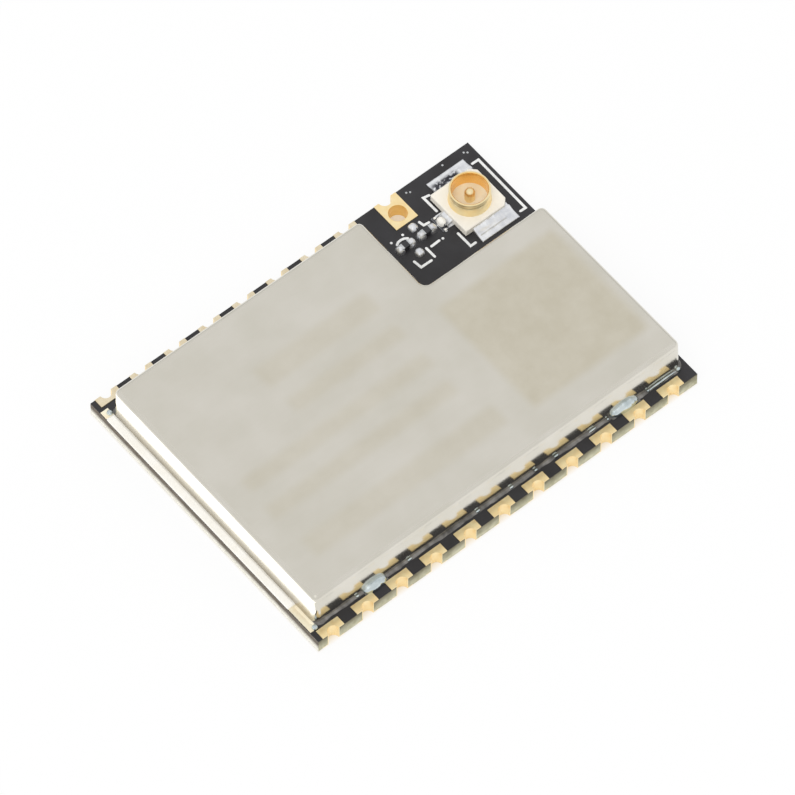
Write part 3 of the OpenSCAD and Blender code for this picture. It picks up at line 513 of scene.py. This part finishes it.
# a convex outline moved inwards, with rounded corners
def insetCorners(corners, inset, radius, steps=5, leastR=0.004):
    rounded = []
    count = len(corners)
    for i in range(count):
        before, here, after = (Vector(corners[(i + k) % count]) for k in (-1, 0, 1))
        toBefore, toAfter = (before - here).normalized(), (after - here).normalized()
        half = toBefore.angle(toAfter) / 2
        middle = (toBefore + toAfter).normalized()
        reach = max(radius - inset, leastR)
        centre = here + middle * ((inset + reach) / math.sin(half))
        spread = math.pi / 2 - half
        outward = math.atan2(-middle.y, -middle.x)
        for k in range(steps + 1):
            angle = outward - spread + 2 * spread * k / steps
            rounded.append((centre.x + reach * math.cos(angle), centre.y + reach * math.sin(angle)))
    return rounded


# an outline pulled up, its upper edges rounded, with a narrow flat rim inside the round
def softBlock(corners, low, high, edge, radius, steps=4, rimShare=1.6):
    loops = [[(x, y, low) for x, y in insetCorners(corners, 0.0, radius)]]
    for i in range(steps + 1):
        angle = math.radians(90 / steps * i)
        inset, drop = edge * (1 - math.cos(angle)), edge * (1 - math.sin(angle))
        loops.append([(x, y, high - drop) for x, y in insetCorners(corners, inset, radius)])
    loops.append([(x, y, high) for x, y in insetCorners(corners, edge * rimShare, radius)])
    return loft(loops)


def heightField(x0, y0, x1, y1, low, steps, height):  # a film over a rectangle, closed by a flat underside
    across, along = steps
    points, faces = [], []
    for i in range(along + 1):
        for j in range(across + 1):
            x, y = x0 + (x1 - x0) * j / across, y0 + (y1 - y0) * i / along
            points.append((x, y, low + height(x, y)))
    for i in range(along):
        for j in range(across):
            a = i * (across + 1) + j
            faces.append((a, a + 1, a + across + 2, a + across + 1))
    rim = list(range(across))
    rim += [i * (across + 1) + across for i in range(along)]
    rim += [along * (across + 1) + across - j for j in range(across)]
    rim += [(along - i) * (across + 1) for i in range(along)]
    under = len(points)
    points += [(points[k][0], points[k][1], low) for k in rim]
    for k in range(len(rim)):
        after = (k + 1) % len(rim)
        faces.append((rim[after], rim[k], under + k, under + after))
    faces.append(tuple(under + k for k in range(len(rim))))
    return points, faces


moundLook = {"rings": 9, "turns": 28, "dome": 2.2,
             "edgeWave": 0.08, "edgeTurn": 1.7, "topWave": 0.14, "topWaveMm": 0.14}


def mound(x, y, radiusX, radiusY, low, height, seed, square=2.0):  # a low dome of solder
    rings, turns, turn = moundLook["rings"], moundLook["turns"], moundLook["edgeTurn"]
    points, faces = [(x, y, low + height)], []
    for i in range(1, rings + 1):
        share = i / rings
        dome = height * math.sqrt(max(1 - share ** moundLook["dome"], 0.0))
        for k in range(turns):
            angle = 2 * math.pi * k / turns
            c, s = math.cos(angle), math.sin(angle)
            size = (abs(c) ** square + abs(s) ** square) ** (-1 / square)
            size *= 1 + moundLook["edgeWave"] * ripple(c * turn + seed, s * turn, 1.0, seed)
            px, py = x + radiusX * share * size * c, y + radiusY * share * size * s
            wave = moundLook["topWave"] * ripple(px, py, moundLook["topWaveMm"], seed)
            points.append((px, py, low + dome * (1 + wave * (1 - share))))
    for k in range(turns):
        faces.append((0, 1 + k, 1 + (k + 1) % turns))
        for i in range(rings - 1):
            a, b = 1 + i * turns + k, 1 + i * turns + (k + 1) % turns
            faces.append((a, a + turns, b + turns, b))
    faces.append(tuple(1 + (rings - 1) * turns + k for k in reversed(range(turns))))
    return points, faces


# shield joints: each wave is its share, its size in mm and its seed

jointLook = {
    "canX": (-10.72, 10.87), "canY": (-7.405, 7.145), "notch": (3.87, 2.495),
    "cornerR": 0.358, "innerR": 0.3, "cornerSteps": 8,
    "leanDegrees": 2,  # of the can's walls
    # tin along the foot, which runs over the land's edge onto the lacquer
    "footIn": 0.01, "footOut": 0.13, "footUp": 0.035, "footStep": 0.16, "landEdge": 0.08, "landUp": 0.04,
    "footWaves": ((0.5, 0.9, 3.0), (0.3, 0.25, 5.0)), "outSwell": (0.75, 1.25), "upSwell": (0.4, 1.5),
    "footRim": (0.85, 0.006), "footHollow": 0.45,
    # x, wall, length, lean of the outline, height, reach
    "beads": ((-7.30, "front", 1.35, 0.0, 0.36, 0.36), (7.40, "front", 1.66, -0.35, 0.44, 0.3),
              (-7.30, "rear", 1.35, 0.0, 0.5, 0.24), (0.45, "rear", 1.66, 0.3, 0.46, 0.24)),
    "beadSteps": 36, "beadArc": 12, "beadEnds": (2.4, 0.6), "beadLeast": 0.03,
    "upWaves": ((0.16, 0.5, 9.0),), "outWaves": ((0.12, 0.3, 2.0),),
    "outPower": 0.7, "roundOut": 0.85, "roundUp": 0.9, "leanShare": 0.4,
    # x and length of small specks of solder along the front foot
    "specks": ((-8.29, 0.22), (-5.25, 0.3), (-1.25, 0.28), (0.72, 0.26), (2.16, 0.22),
               (3.36, 0.3), (5.51, 0.46), (6.41, 0.14), (8.81, 0.16), (9.68, 1.6)),
    "speckOut": 0.065, "speckHalf": 0.06, "speckUp": 0.1,
    # the drop at the front right corner
    "ballX": 10.6, "ballOut": 0.06, "ballR": 0.13, "ballShare": 0.8, "ballUp": 0.17,
    # film on the strip at the left: rising from the board's edge to a crest, then falling to the wall
    "strip": (-11.15, -10.72), "film": (-5.995, 7.035), "filmUp": 0.13, "filmEdge": 0.025,
    "filmCrest": 0.8, "filmPower": 1.3, "filmFall": 0.25, "filmSide": 0.05, "filmEnds": 0.25,
    "filmWaves": ((0.15, 1.6, 4.0),), "filmSteps": (10, 220),
    "leftward": -0.99,  # the way's X on the left wall, where the film covers the foot
    "dots": (-7.495, 7.205), "dotX": -10.80, "dotR": 0.15, "dotUp": 0.14,
}


def canOutline(look):  # points along the foot of the can with the way out of it
    (x0, x1), (y0, y1), (nx, ny) = look["canX"], look["canY"], look["notch"]
    r, inner, steps = look["cornerR"], look["innerR"], look["cornerSteps"]
    corners = [((x1 - r, y0 + r), r, -90, 0), ((x1 - r, ny - r), r, 0, 90),
               ((nx + inner, ny + inner), inner, 270, 180), ((nx - r, y1 - r), r, 0, 90),
               ((x0 + r, y1 - r), r, 90, 180), ((x0 + r, y0 + r), r, 180, 270)]
    turns = []
    for centre, radius, start, end in corners:
        sign = 1 if end > start else -1
        turn = []
        for k in range(steps + 1):
            angle = math.radians(start + (end - start) * k / steps)
            way = Vector((math.cos(angle), math.sin(angle)))
            turn.append((Vector(centre) + way * radius, way * sign))
        turns.append(turn)
    stations = []
    for turn, following in zip(turns, turns[1:] + turns[:1]):
        last, way = turn[-1]
        run = following[0][0] - last
        parts = max(1, int(run.length / look["footStep"]))
        stations += turn + [(last + run * (k / parts), way) for k in range(1, parts)]
    return stations


def footFillet(look):
    stations = canOutline(look)
    first, last = look["film"]
    filmed = [i for i, (spot, way) in enumerate(stations)
              if way.x < look["leftward"] and first < spot.y < last]
    back, edge, drop = -look["footIn"], look["landEdge"], -look["landUp"]
    rimShare, rimUp = look["footRim"]
    hollow = look["footHollow"]
    loops = []
    for spot, way in stations[filmed[-1] + 1:] + stations[:filmed[0]]:
        swell = swellAt(spot.x, spot.y, look["footWaves"])
        out = look["footOut"] * clamp(swell, *look["outSwell"])
        up = look["footUp"] * clamp(swell, *look["upSwell"])
        section = [(back, 0), (edge, 0), (edge, drop), (out, drop), (out * rimShare, rimUp),
                   (out * hollow, up * hollow), (0, up), (back, up)]
        loops.append([(spot.x + way.x * d, spot.y + way.y * d, landTop + h) for d, h in section])
    return loft(loops)


def bead(look, centre, wall, length, lean, height, reach):
    wallY, out = (look["canY"][0], -1) if wall == "front" else (look["canY"][1], 1)
    steps, turns, least = look["beadSteps"], look["beadArc"], look["beadLeast"]
    blunt, taper = look["beadEnds"]
    back = math.tan(math.radians(look["leanDegrees"]))
    loops = []
    for i in range(steps + 1):
        t = -1 + 2 * i / steps
        full = max(1 - abs(t) ** blunt, 0.0) ** taper * (1 - least) + least
        up = height * full * swellAt(t * length, centre, look["upWaves"])
        away = reach * full ** look["outPower"] * swellAt(t * length, centre, look["outWaves"])
        away = min(reach, away)
        loop = [(0.0, 0.0)]
        for k in range(turns + 1):
            angle = math.pi / 2 * k / turns
            loop.append((away * math.cos(angle) ** look["roundOut"], up * math.sin(angle) ** look["roundUp"]))
        along = centre + t * length / 2
        loops.append([(along + lean * h * look["leanShare"],
                       wallY + out * (d - h * back * (1 - d / reach)), landTop + h) for d, h in loop])
    return loft(loops)


def stripFilm(look):
    (x0, x1), (y0, y1) = look["strip"], look["film"]
    crest, power = look["filmCrest"], look["filmPower"]

    def lift(x, y):
        share = (x - x0) / (x1 - x0)
        hump = share ** power
        if share >= crest:
            hump = crest ** power * (1 - look["filmFall"] * (share - crest) / (1 - crest))
        side = look["filmEdge"] * edgeFall(x - x0, look["filmSide"])
        ends = edgeFall(min(y - y0, y1 - y), look["filmEnds"])
        return (side + (look["filmUp"] - look["filmEdge"]) * hump) * ends * swellAt(x, y, look["filmWaves"])
    return heightField(x0, y0, x1, y1, landTop, look["filmSteps"], lift)


def jointDrops(look):  # specks and a drop along the front foot, dots at the left corners
    frontY = look["canY"][0]
    drops = [mound(x, frontY - look["speckOut"], length / 2, look["speckHalf"], landTop, look["speckUp"], x)
             for x, length in look["specks"]]
    drops.append(mound(look["ballX"], frontY - look["ballOut"], look["ballR"],
                       look["ballR"] * look["ballShare"], landTop, look["ballUp"], look["ballX"]))
    drops += [mound(look["dotX"], y, look["dotR"], look["dotR"], landTop, look["dotUp"], y)
              for y in look["dots"]]
    return drops


makePiece("shield_foot", [footFillet(jointLook)], groundTin, sharpAngle=70)
# the film's cream-white colour is a painted highlight
makePiece("strip_film", [stripFilm(jointLook)], litSolder, sharpAngle=70)
jointShells = [bead(jointLook, *spec) for spec in jointLook["beads"]] + jointDrops(jointLook)
shieldJoints = makePiece("shield_joints", jointShells, solder, sharpAngle=70)
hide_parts("shield_solder")
print("shield joints: beads, strip film, foot fillet")


# coaxial connector

connectorLook = {
    "floor": 1.22, "half": 1.3, "cut": 0.3, "edge": 0.05, "corner": 0.07,
    "ringR": 0.98, "boreR": 0.85, "boreStep": 0.2, "rim": 2.05, "lipR": 0.065, "lipSteps": 12,
    "ringTurns": 96, "groove": (1.69, 1.91), "grooveDepth": 0.045, "grooveSteps": 10, "grooveFoot": 0.03,
    "skirt": ((0.0, 0.12), (0.025, 0.05), (0.04, 0.0)),  # how far out and up the ring's foot flares
    "contactR": 0.25, "contactTop": 1.93, "contactSink": 0.05, "contactSteps": 12, "contactTurns": 48,
    "legFrom": 0.85, "legW": 1.5, "legOut": 0.4, "legT": 0.12, "legEdge": 0.03, "legCorner": 0.05,
    "tailW": 0.5, "tailIn": 0.2,
    "groundX": (8.18, 10.38), "groundFar": 2.05, "groundSteps": (66, 24), "groundSeed": 7.0,
    "signalX": (7.25, 7.78), "signalHalf": 0.35, "signalSteps": (24, 30), "signalSeed": 3.0,
    # films on the lands, which thin out from the moulding and cover the legs
    "solderUp": 0.2, "solderEdge": 0.03, "solderPower": 1.7, "solderFall": 0.07, "solderLeast": 0.002,
    "solderWaves": ((0.25, 0.35, 0), (0.12, 0.12, 2)), "legCover": 0.012,
    # solder lumps at the signal leg's end: x, y, half length, half width, height
    "lumps": ((7.4, 5.55, 0.22, 0.28, 0.26), (7.30, 5.90, 0.075, 0.075, 0.07),
              (7.29, 5.12, 0.07, 0.07, 0.07)),
}


def connectorPieces(look):
    cx, cy = connectorAxis[:2]
    half, cut, floor = look["half"], look["cut"], look["floor"]
    corners = [(cx - half, cy - half), (cx + half - cut, cy - half), (cx + half, cy - half + cut),
               (cx + half, cy + half - cut), (cx + half - cut, cy + half), (cx - half, cy + half)]
    base = makePiece("connector_moulding", [softBlock(corners, landTop, floor, look["edge"], look["corner"])],
                     moulding, sharpAngle=60)
    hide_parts("connector_base")

    def foot(x0, y0, x1, y1):  # a leg that runs out under the solder
        plan = [(x0, y0), (x1, y0), (x1, y1), (x0, y1)]
        return softBlock(plan, landTop, landTop + look["legT"], look["legEdge"], look["legCorner"])

    low, high = look["groove"]
    depth, rise = look["grooveDepth"], (high - low) / 2
    radius = (rise * rise + depth * depth) / (2 * depth)
    swing = math.degrees(math.asin(rise / radius))
    outer, bore, lip, rim = look["ringR"], look["boreR"], look["lipR"], look["rim"]
    profile = [(bore, floor), (bore, floor + look["boreStep"]), (bore, rim - lip - look["boreStep"])]
    profile += arc((bore + lip, rim - lip), lip, 180, 0, look["lipSteps"])
    profile += arc((outer - depth + radius, (low + high) / 2), radius, 180 - swing, 180 + swing,
                   look["grooveSteps"])
    profile += [(outer, low - look["grooveFoot"])] + [(outer + out, floor + up) for out, up in look["skirt"]]
    shells = [lathe(profile, connectorAxis, look["ringTurns"])]
    for side in (-1, 1):
        y0, y1 = cy + side * look["legFrom"], cy + side * (half + look["legOut"])
        shells.append(foot(cx - look["legW"] / 2, min(y0, y1), cx + look["legW"] / 2, max(y0, y1)))
    ring = makePiece("connector_shell", shells, ringGold, sharpAngle=40)
    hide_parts("connector_ring")

    r, top, sunk = look["contactR"], look["contactTop"], floor - look["contactSink"]
    profile = [(0.0, sunk), (r, sunk), (r, top - r)] + arc((0, top - r), r, 0, 90, look["contactSteps"])[1:]
    tail = foot(cx - half - look["legOut"], cy - look["tailW"] / 2,
                cx - half + look["tailIn"], cy + look["tailW"] / 2)
    contact = makePiece("connector_pin", [lathe(profile, connectorAxis, look["contactTurns"]), tail],
                        ringGold, sharpAngle=40)
    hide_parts("connector_contact")

    def landFilm(x, y, near, far, ends, legHalf, side, seed):  # height on the way from moulding to land's end
        thin = (1 - clamp(near / far)) ** look["solderPower"]
        skin = look["solderEdge"] + (look["solderUp"] - look["solderEdge"]) * thin
        fall = look["solderFall"]
        leg = edgeFall(min(legHalf - side, look["legOut"] - near) + fall, fall)  # solder over the leg beneath
        top = max(skin * swellAt(x, y, look["solderWaves"], seed), (look["legT"] + look["legCover"]) * leg)
        return top * edgeFall(min(ends, far - near), fall) + look["solderLeast"]

    films = []
    gx0, gx1 = look["groundX"]
    for side in (-1, 1):
        near, far = cy + side * half, cy + side * look["groundFar"]
        films.append(heightField(
            gx0, min(near, far), gx1, max(near, far), landTop, look["groundSteps"],
            lambda x, y, near=near, side=side: landFilm(
                x, y, abs(y - near), look["groundFar"] - half, min(x - gx0, gx1 - x),
                look["legW"] / 2, abs(x - cx), look["groundSeed"] + side)))
    sx0, sx1 = look["signalX"]
    films.append(heightField(
        sx0, cy - look["signalHalf"], sx1, cy + look["signalHalf"], landTop, look["signalSteps"],
        lambda x, y: landFilm(x, y, sx1 - x, sx1 - sx0, min(y - cy, cy - y) + look["signalHalf"],
                              look["tailW"] / 2, abs(y - cy), look["signalSeed"])))
    film = makePiece("connector_joints", films, smear, sharpAngle=60)
    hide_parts("connector_solder")
    lumps = [mound(x, y, length, width, landTop, up, x + y) for x, y, length, width, up in look["lumps"]]
    # the lumps' cream-white colour is a painted highlight
    makePiece("signal_joint", lumps, litSolder, sharpAngle=60)


connectorPieces(connectorLook)
print("connector: moulding, shell, pin, joints")


# matching network beside the connector

matchingLook = {
    "low": 0.8, "half": 0.235, "square": 2.8,
    # x, y and height of each joint, the tall ones close over the ends of the chip parts
    "lands": ((6.85, 5.545, 0.33), (6.2, 5.545, 0.33), (5.59, 5.545, 0.33), (4.94, 5.545, 0.33),
              (6.21, 6.165, 0.2), (5.58, 4.925, 0.2)),
}


def matchingJoints(look):
    half, low, square = look["half"], look["low"], look["square"]
    return [mound(x, y, half, half, low, height, x + y, square) for x, y, height in look["lands"]]


matchingShells = matchingJoints(matchingLook)
matching = makePiece("matching_joints", matchingShells, smear, sharpAngle=70)
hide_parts("matching_lands")
print("matching network:", len(matchingShells), "lands")


# print and plated holes on the board

printLook = {
    "low": 0.798, "high": 0.812, "width": 0.125, "capSteps": 8, "leastMitre": 0.5,
    "lines": (((10.56, 7.135), (10.92, 7.125), (10.90, 3.715), (10.60, 3.725)),
              ((7.91, 7.065), (7.62, 7.125), (7.63, 6.175)),
              ((7.61, 4.605), (7.62, 3.715), (7.91, 3.715)),
              ((6.63, 6.215), (6.68, 5.955), (6.96, 5.925)),
              ((5.05, 5.905), (5.18, 5.985), (5.36, 6.005), (5.53, 5.965), (5.66, 5.875)),
              ((6.22, 4.845), (6.69, 4.865)),
              ((5.97, 4.915), (5.98, 4.325)),
              ((5.08, 4.705), (5.13, 4.265), (5.73, 4.255))),
    "dots": ((5.60, 6.165), (7.30, 5.875), (7.29, 5.085), (6.90, 4.845), (4.91, 6.155)),
    "dotR": 0.065, "dotSides": 24,
    "vias": ((10.65, 7.865), (10.79, 7.755), (9.45, 7.955), (7.20, 7.845), (7.36, 7.755)),
    "viaR": 0.055, "viaUp": 0.02,
}


def stroke(look, points):  # outline of a printed line with mitred bends and round ends
    points = [Vector(p) for p in points]
    half = look["width"] / 2
    ways = [(b - a).normalized() for a, b in zip(points, points[1:])]
    left, right = [], []
    for i, point in enumerate(points):
        before, after = ways[max(i - 1, 0)], ways[min(i, len(ways) - 1)]
        across = Vector((-(before + after).y, (before + after).x)).normalized()
        reach = half / max(across.dot(Vector((-after.y, after.x))), look["leastMitre"])
        left.append(point + across * reach)
        right.append(point - across * reach)

    def cap(point, way):
        start = math.degrees(math.atan2(way.y, way.x))
        return [Vector(p) for p in arc(point, half, start - 90, start + 90, look["capSteps"])][1:-1]
    outline = right + cap(points[-1], ways[-1]) + left[::-1] + cap(points[0], -ways[0])
    return [(p.x, p.y) for p in outline]


def boardPrint(look):
    sides = look["dotSides"]
    outlines = [stroke(look, line) for line in look["lines"]]
    outlines += [arc(dot, look["dotR"], 0, 360 - 360 / sides, sides - 1) for dot in look["dots"]]
    return [prism(outline, look["low"], look["high"]) for outline in outlines]


def viaTops(look):
    return [mound(x, y, look["viaR"], look["viaR"], look["low"], look["viaUp"], x) for x, y in look["vias"]]


printShells = boardPrint(printLook)
makePiece("board_print", printShells, ink)
viaShells = viaTops(printLook)
makePiece("board_vias", viaShells, tin)
print("board print:", len(printShells), "marks,", len(viaShells), "plated holes")


# floor, light and camera

stageLook = {
    "floorRadius": 3.0, "floorSides": 96, "floorDrop": -0.00003,  # in metres
    "floorColour": "#F4F4F4", "whiteColour": "#FFFFFF", "whiteShare": 0.88,
    # the paper seen in the board's holes is in a warm shade
    "boardHalfMm": (11.15, 8.175), "shadeMm": (-0.3, 0.1), "shadeShare": 0.42, "shadeColour": "#FBE9CB",
}


def paperFloor(look):
    floorMesh = bpy.data.meshes.new("floor")
    build = bmesh.new()
    bmesh.ops.create_circle(build, cap_ends=True, segments=look["floorSides"], radius=look["floorRadius"])
    build.to_mesh(floorMesh)
    build.free()
    floor = bpy.data.objects.new("floor", floorMesh)
    floor.location.z = look["floorDrop"]
    scene.collection.objects.link(floor)
    # matt paper, rolled smooth: shown white but still taking a shadow
    material, tree, place = startMaterial("Paper_whiteSweep")
    spot = addNode(tree, "SeparateXYZ", links={0: place})
    beyond = []
    for axis, half in enumerate(look["boardHalfMm"]):
        size = addNode(tree, "Math", {"operation": "ABSOLUTE"}, {0: spot.outputs[axis]})
        past = addNode(tree, "Math", {"operation": "SUBTRACT", 1: half}, {0: size.outputs[0]})
        beyond.append(past.outputs[0])
    clear = addNode(tree, "Math", {"operation": "MAXIMUM"}, {0: beyond[0], 1: beyond[1]})
    bare = addNode(tree, "MapRange", fromTo(look["shadeMm"]), {"Value": clear.outputs[0]})
    lit = addNode(tree, "MapRange", {"To Min": look["shadeShare"], "To Max": look["whiteShare"]},
                  {"Value": bare.outputs[0]})
    shade, clean = linear(look["shadeColour"]), linear(look["whiteColour"])
    tint = addNode(tree, "Mix", {"data_type": "RGBA", 6: shade, 7: clean}, {0: bare.outputs[0]})
    path = addNode(tree, "LightPath")
    seen = path.outputs["Is Camera Ray"]
    for ray in ("Is Glossy Ray", "Is Transmission Ray"):
        seen = addNode(tree, "Math", {"operation": "MAXIMUM"}, {0: seen, 1: path.outputs[ray]}).outputs[0]
    share = addNode(tree, "Math", {"operation": "MULTIPLY"}, {0: seen, 1: lit.outputs[0]})
    paper = addNode(tree, "BsdfDiffuse", {"Color": linear(look["floorColour"])})
    white = addNode(tree, "Emission", {"Strength": 1.0}, {"Color": tint.outputs[2]})
    mix = addNode(tree, "MixShader", links={0: share.outputs[0], 1: paper.outputs[0], 2: white.outputs[0]})
    addNode(tree, "OutputMaterial", links={"Surface": mix.outputs[0]})
    floorMesh.materials.append(material)


lightLook = {
    # the sky's radiance at the horizon, overhead and low at the rear right
    "horizon": (0.85, 0.85, 0.85, 1.0), "above": (0.86, 0.86, 0.86, 1.0), "dim": (0.7, 0.7, 0.7, 1.0),
    "fade": (0.15, 0.7), "dimTowards": (0.636, 0.771, 0.0), "dimFade": (-0.1, 0.6),
    # place in mm, aim in mm, width and height in mm, radiance, seen in shiny faces
    "lamps": {"key": ((-315, -210, 588), (0, 0, 0), 500, 500, 0.22, True),
              "fill": ((-315, -210, 588), (0, 0, 0), 500, 500, 2.2, False),
              # lights the left wall from below
              "card": ((-13.2, 1.0, 0.02), (-13.2, 1.0, 1.0), 3.8, 19.0, 1.2, True)},
}


def studioLight(look):
    world = bpy.data.worlds.new("studio")
    scene.world = world
    world.use_nodes = True
    tree = world.node_tree
    tree.nodes.clear()
    way = addNode(tree, "TexCoord").outputs["Generated"]
    split = addNode(tree, "SeparateXYZ", links={0: way})
    across = addNode(tree, "VectorMath", {"operation": "DOT_PRODUCT", 1: look["dimTowards"]}, {0: way})
    fade = addNode(tree, "MapRange", {"interpolation_type": "SMOOTHSTEP", **fromTo(look["fade"])},
                   {"Value": split.outputs[2]})
    dim = addNode(tree, "MapRange", {"interpolation_type": "SMOOTHSTEP", **fromTo(look["dimFade"])},
                  {"Value": across.outputs["Value"]})
    low = addNode(tree, "Mix", {"data_type": "RGBA", 6: look["horizon"], 7: look["dim"]}, {0: dim.outputs[0]})
    sky = addNode(tree, "Mix", {"data_type": "RGBA", 7: look["above"]},
                  {0: fade.outputs[0], 6: low.outputs[2]})
    glow = addNode(tree, "Background", {"Strength": 1.0}, {"Color": sky.outputs[2]})
    addNode(tree, "OutputWorld", links={"Surface": glow.outputs[0]})
    for name, (place, aim, width, height, radiance, shiny) in look["lamps"].items():
        lamp = bpy.data.lights.new(name, "AREA")
        lamp.shape = "RECTANGLE"
        lamp.size, lamp.size_y = width * mm, height * mm
        lamp.energy = radiance * math.pi * lamp.size * lamp.size_y
        holder = bpy.data.objects.new(name, lamp)
        holder.location = Vector(place) * mm
        holder.rotation_euler = (Vector(place) - Vector(aim)).to_track_quat("Z", "Y").to_euler()
        holder.visible_camera = False
        holder.visible_glossy = shiny
        scene.collection.objects.link(holder)


# angles in degrees, lengths in mm, the nearest distance that is drawn in metres
cameraLook = {"azimuth": -39.555, "elevation": 58.011, "distance": 490.63, "lens": 487.88, "sensor": 36,
              "across": 0.0899, "above": 0.0084, "shift": (0.06, -0.025, 0), "nearest": 0.01}


def photoCamera(look):
    turn, tilt = math.radians(look["azimuth"]), math.radians(look["elevation"])
    back = Vector((math.sin(turn) * math.cos(tilt), -math.cos(turn) * math.cos(tilt), math.sin(tilt)))
    right = Vector((math.cos(turn), math.sin(turn), 0))
    up = back.cross(right)
    place = back * look["distance"] + right * look["across"] + up * look["above"] + Vector(look["shift"])
    lens = bpy.data.cameras.new("camera")
    lens.lens = look["lens"]
    lens.sensor_width = look["sensor"]
    lens.clip_start = look["nearest"]
    camera = bpy.data.objects.new("camera", lens)
    camera.matrix_world = Matrix.Translation(place * mm) @ Matrix((right, up, back)).transposed().to_4x4()
    scene.collection.objects.link(camera)
    scene.camera = camera


paperFloor(stageLook)
studioLight(lightLook)
photoCamera(cameraLook)
scene.view_settings.view_transform = "Standard"
print("floor, lamps and camera set")
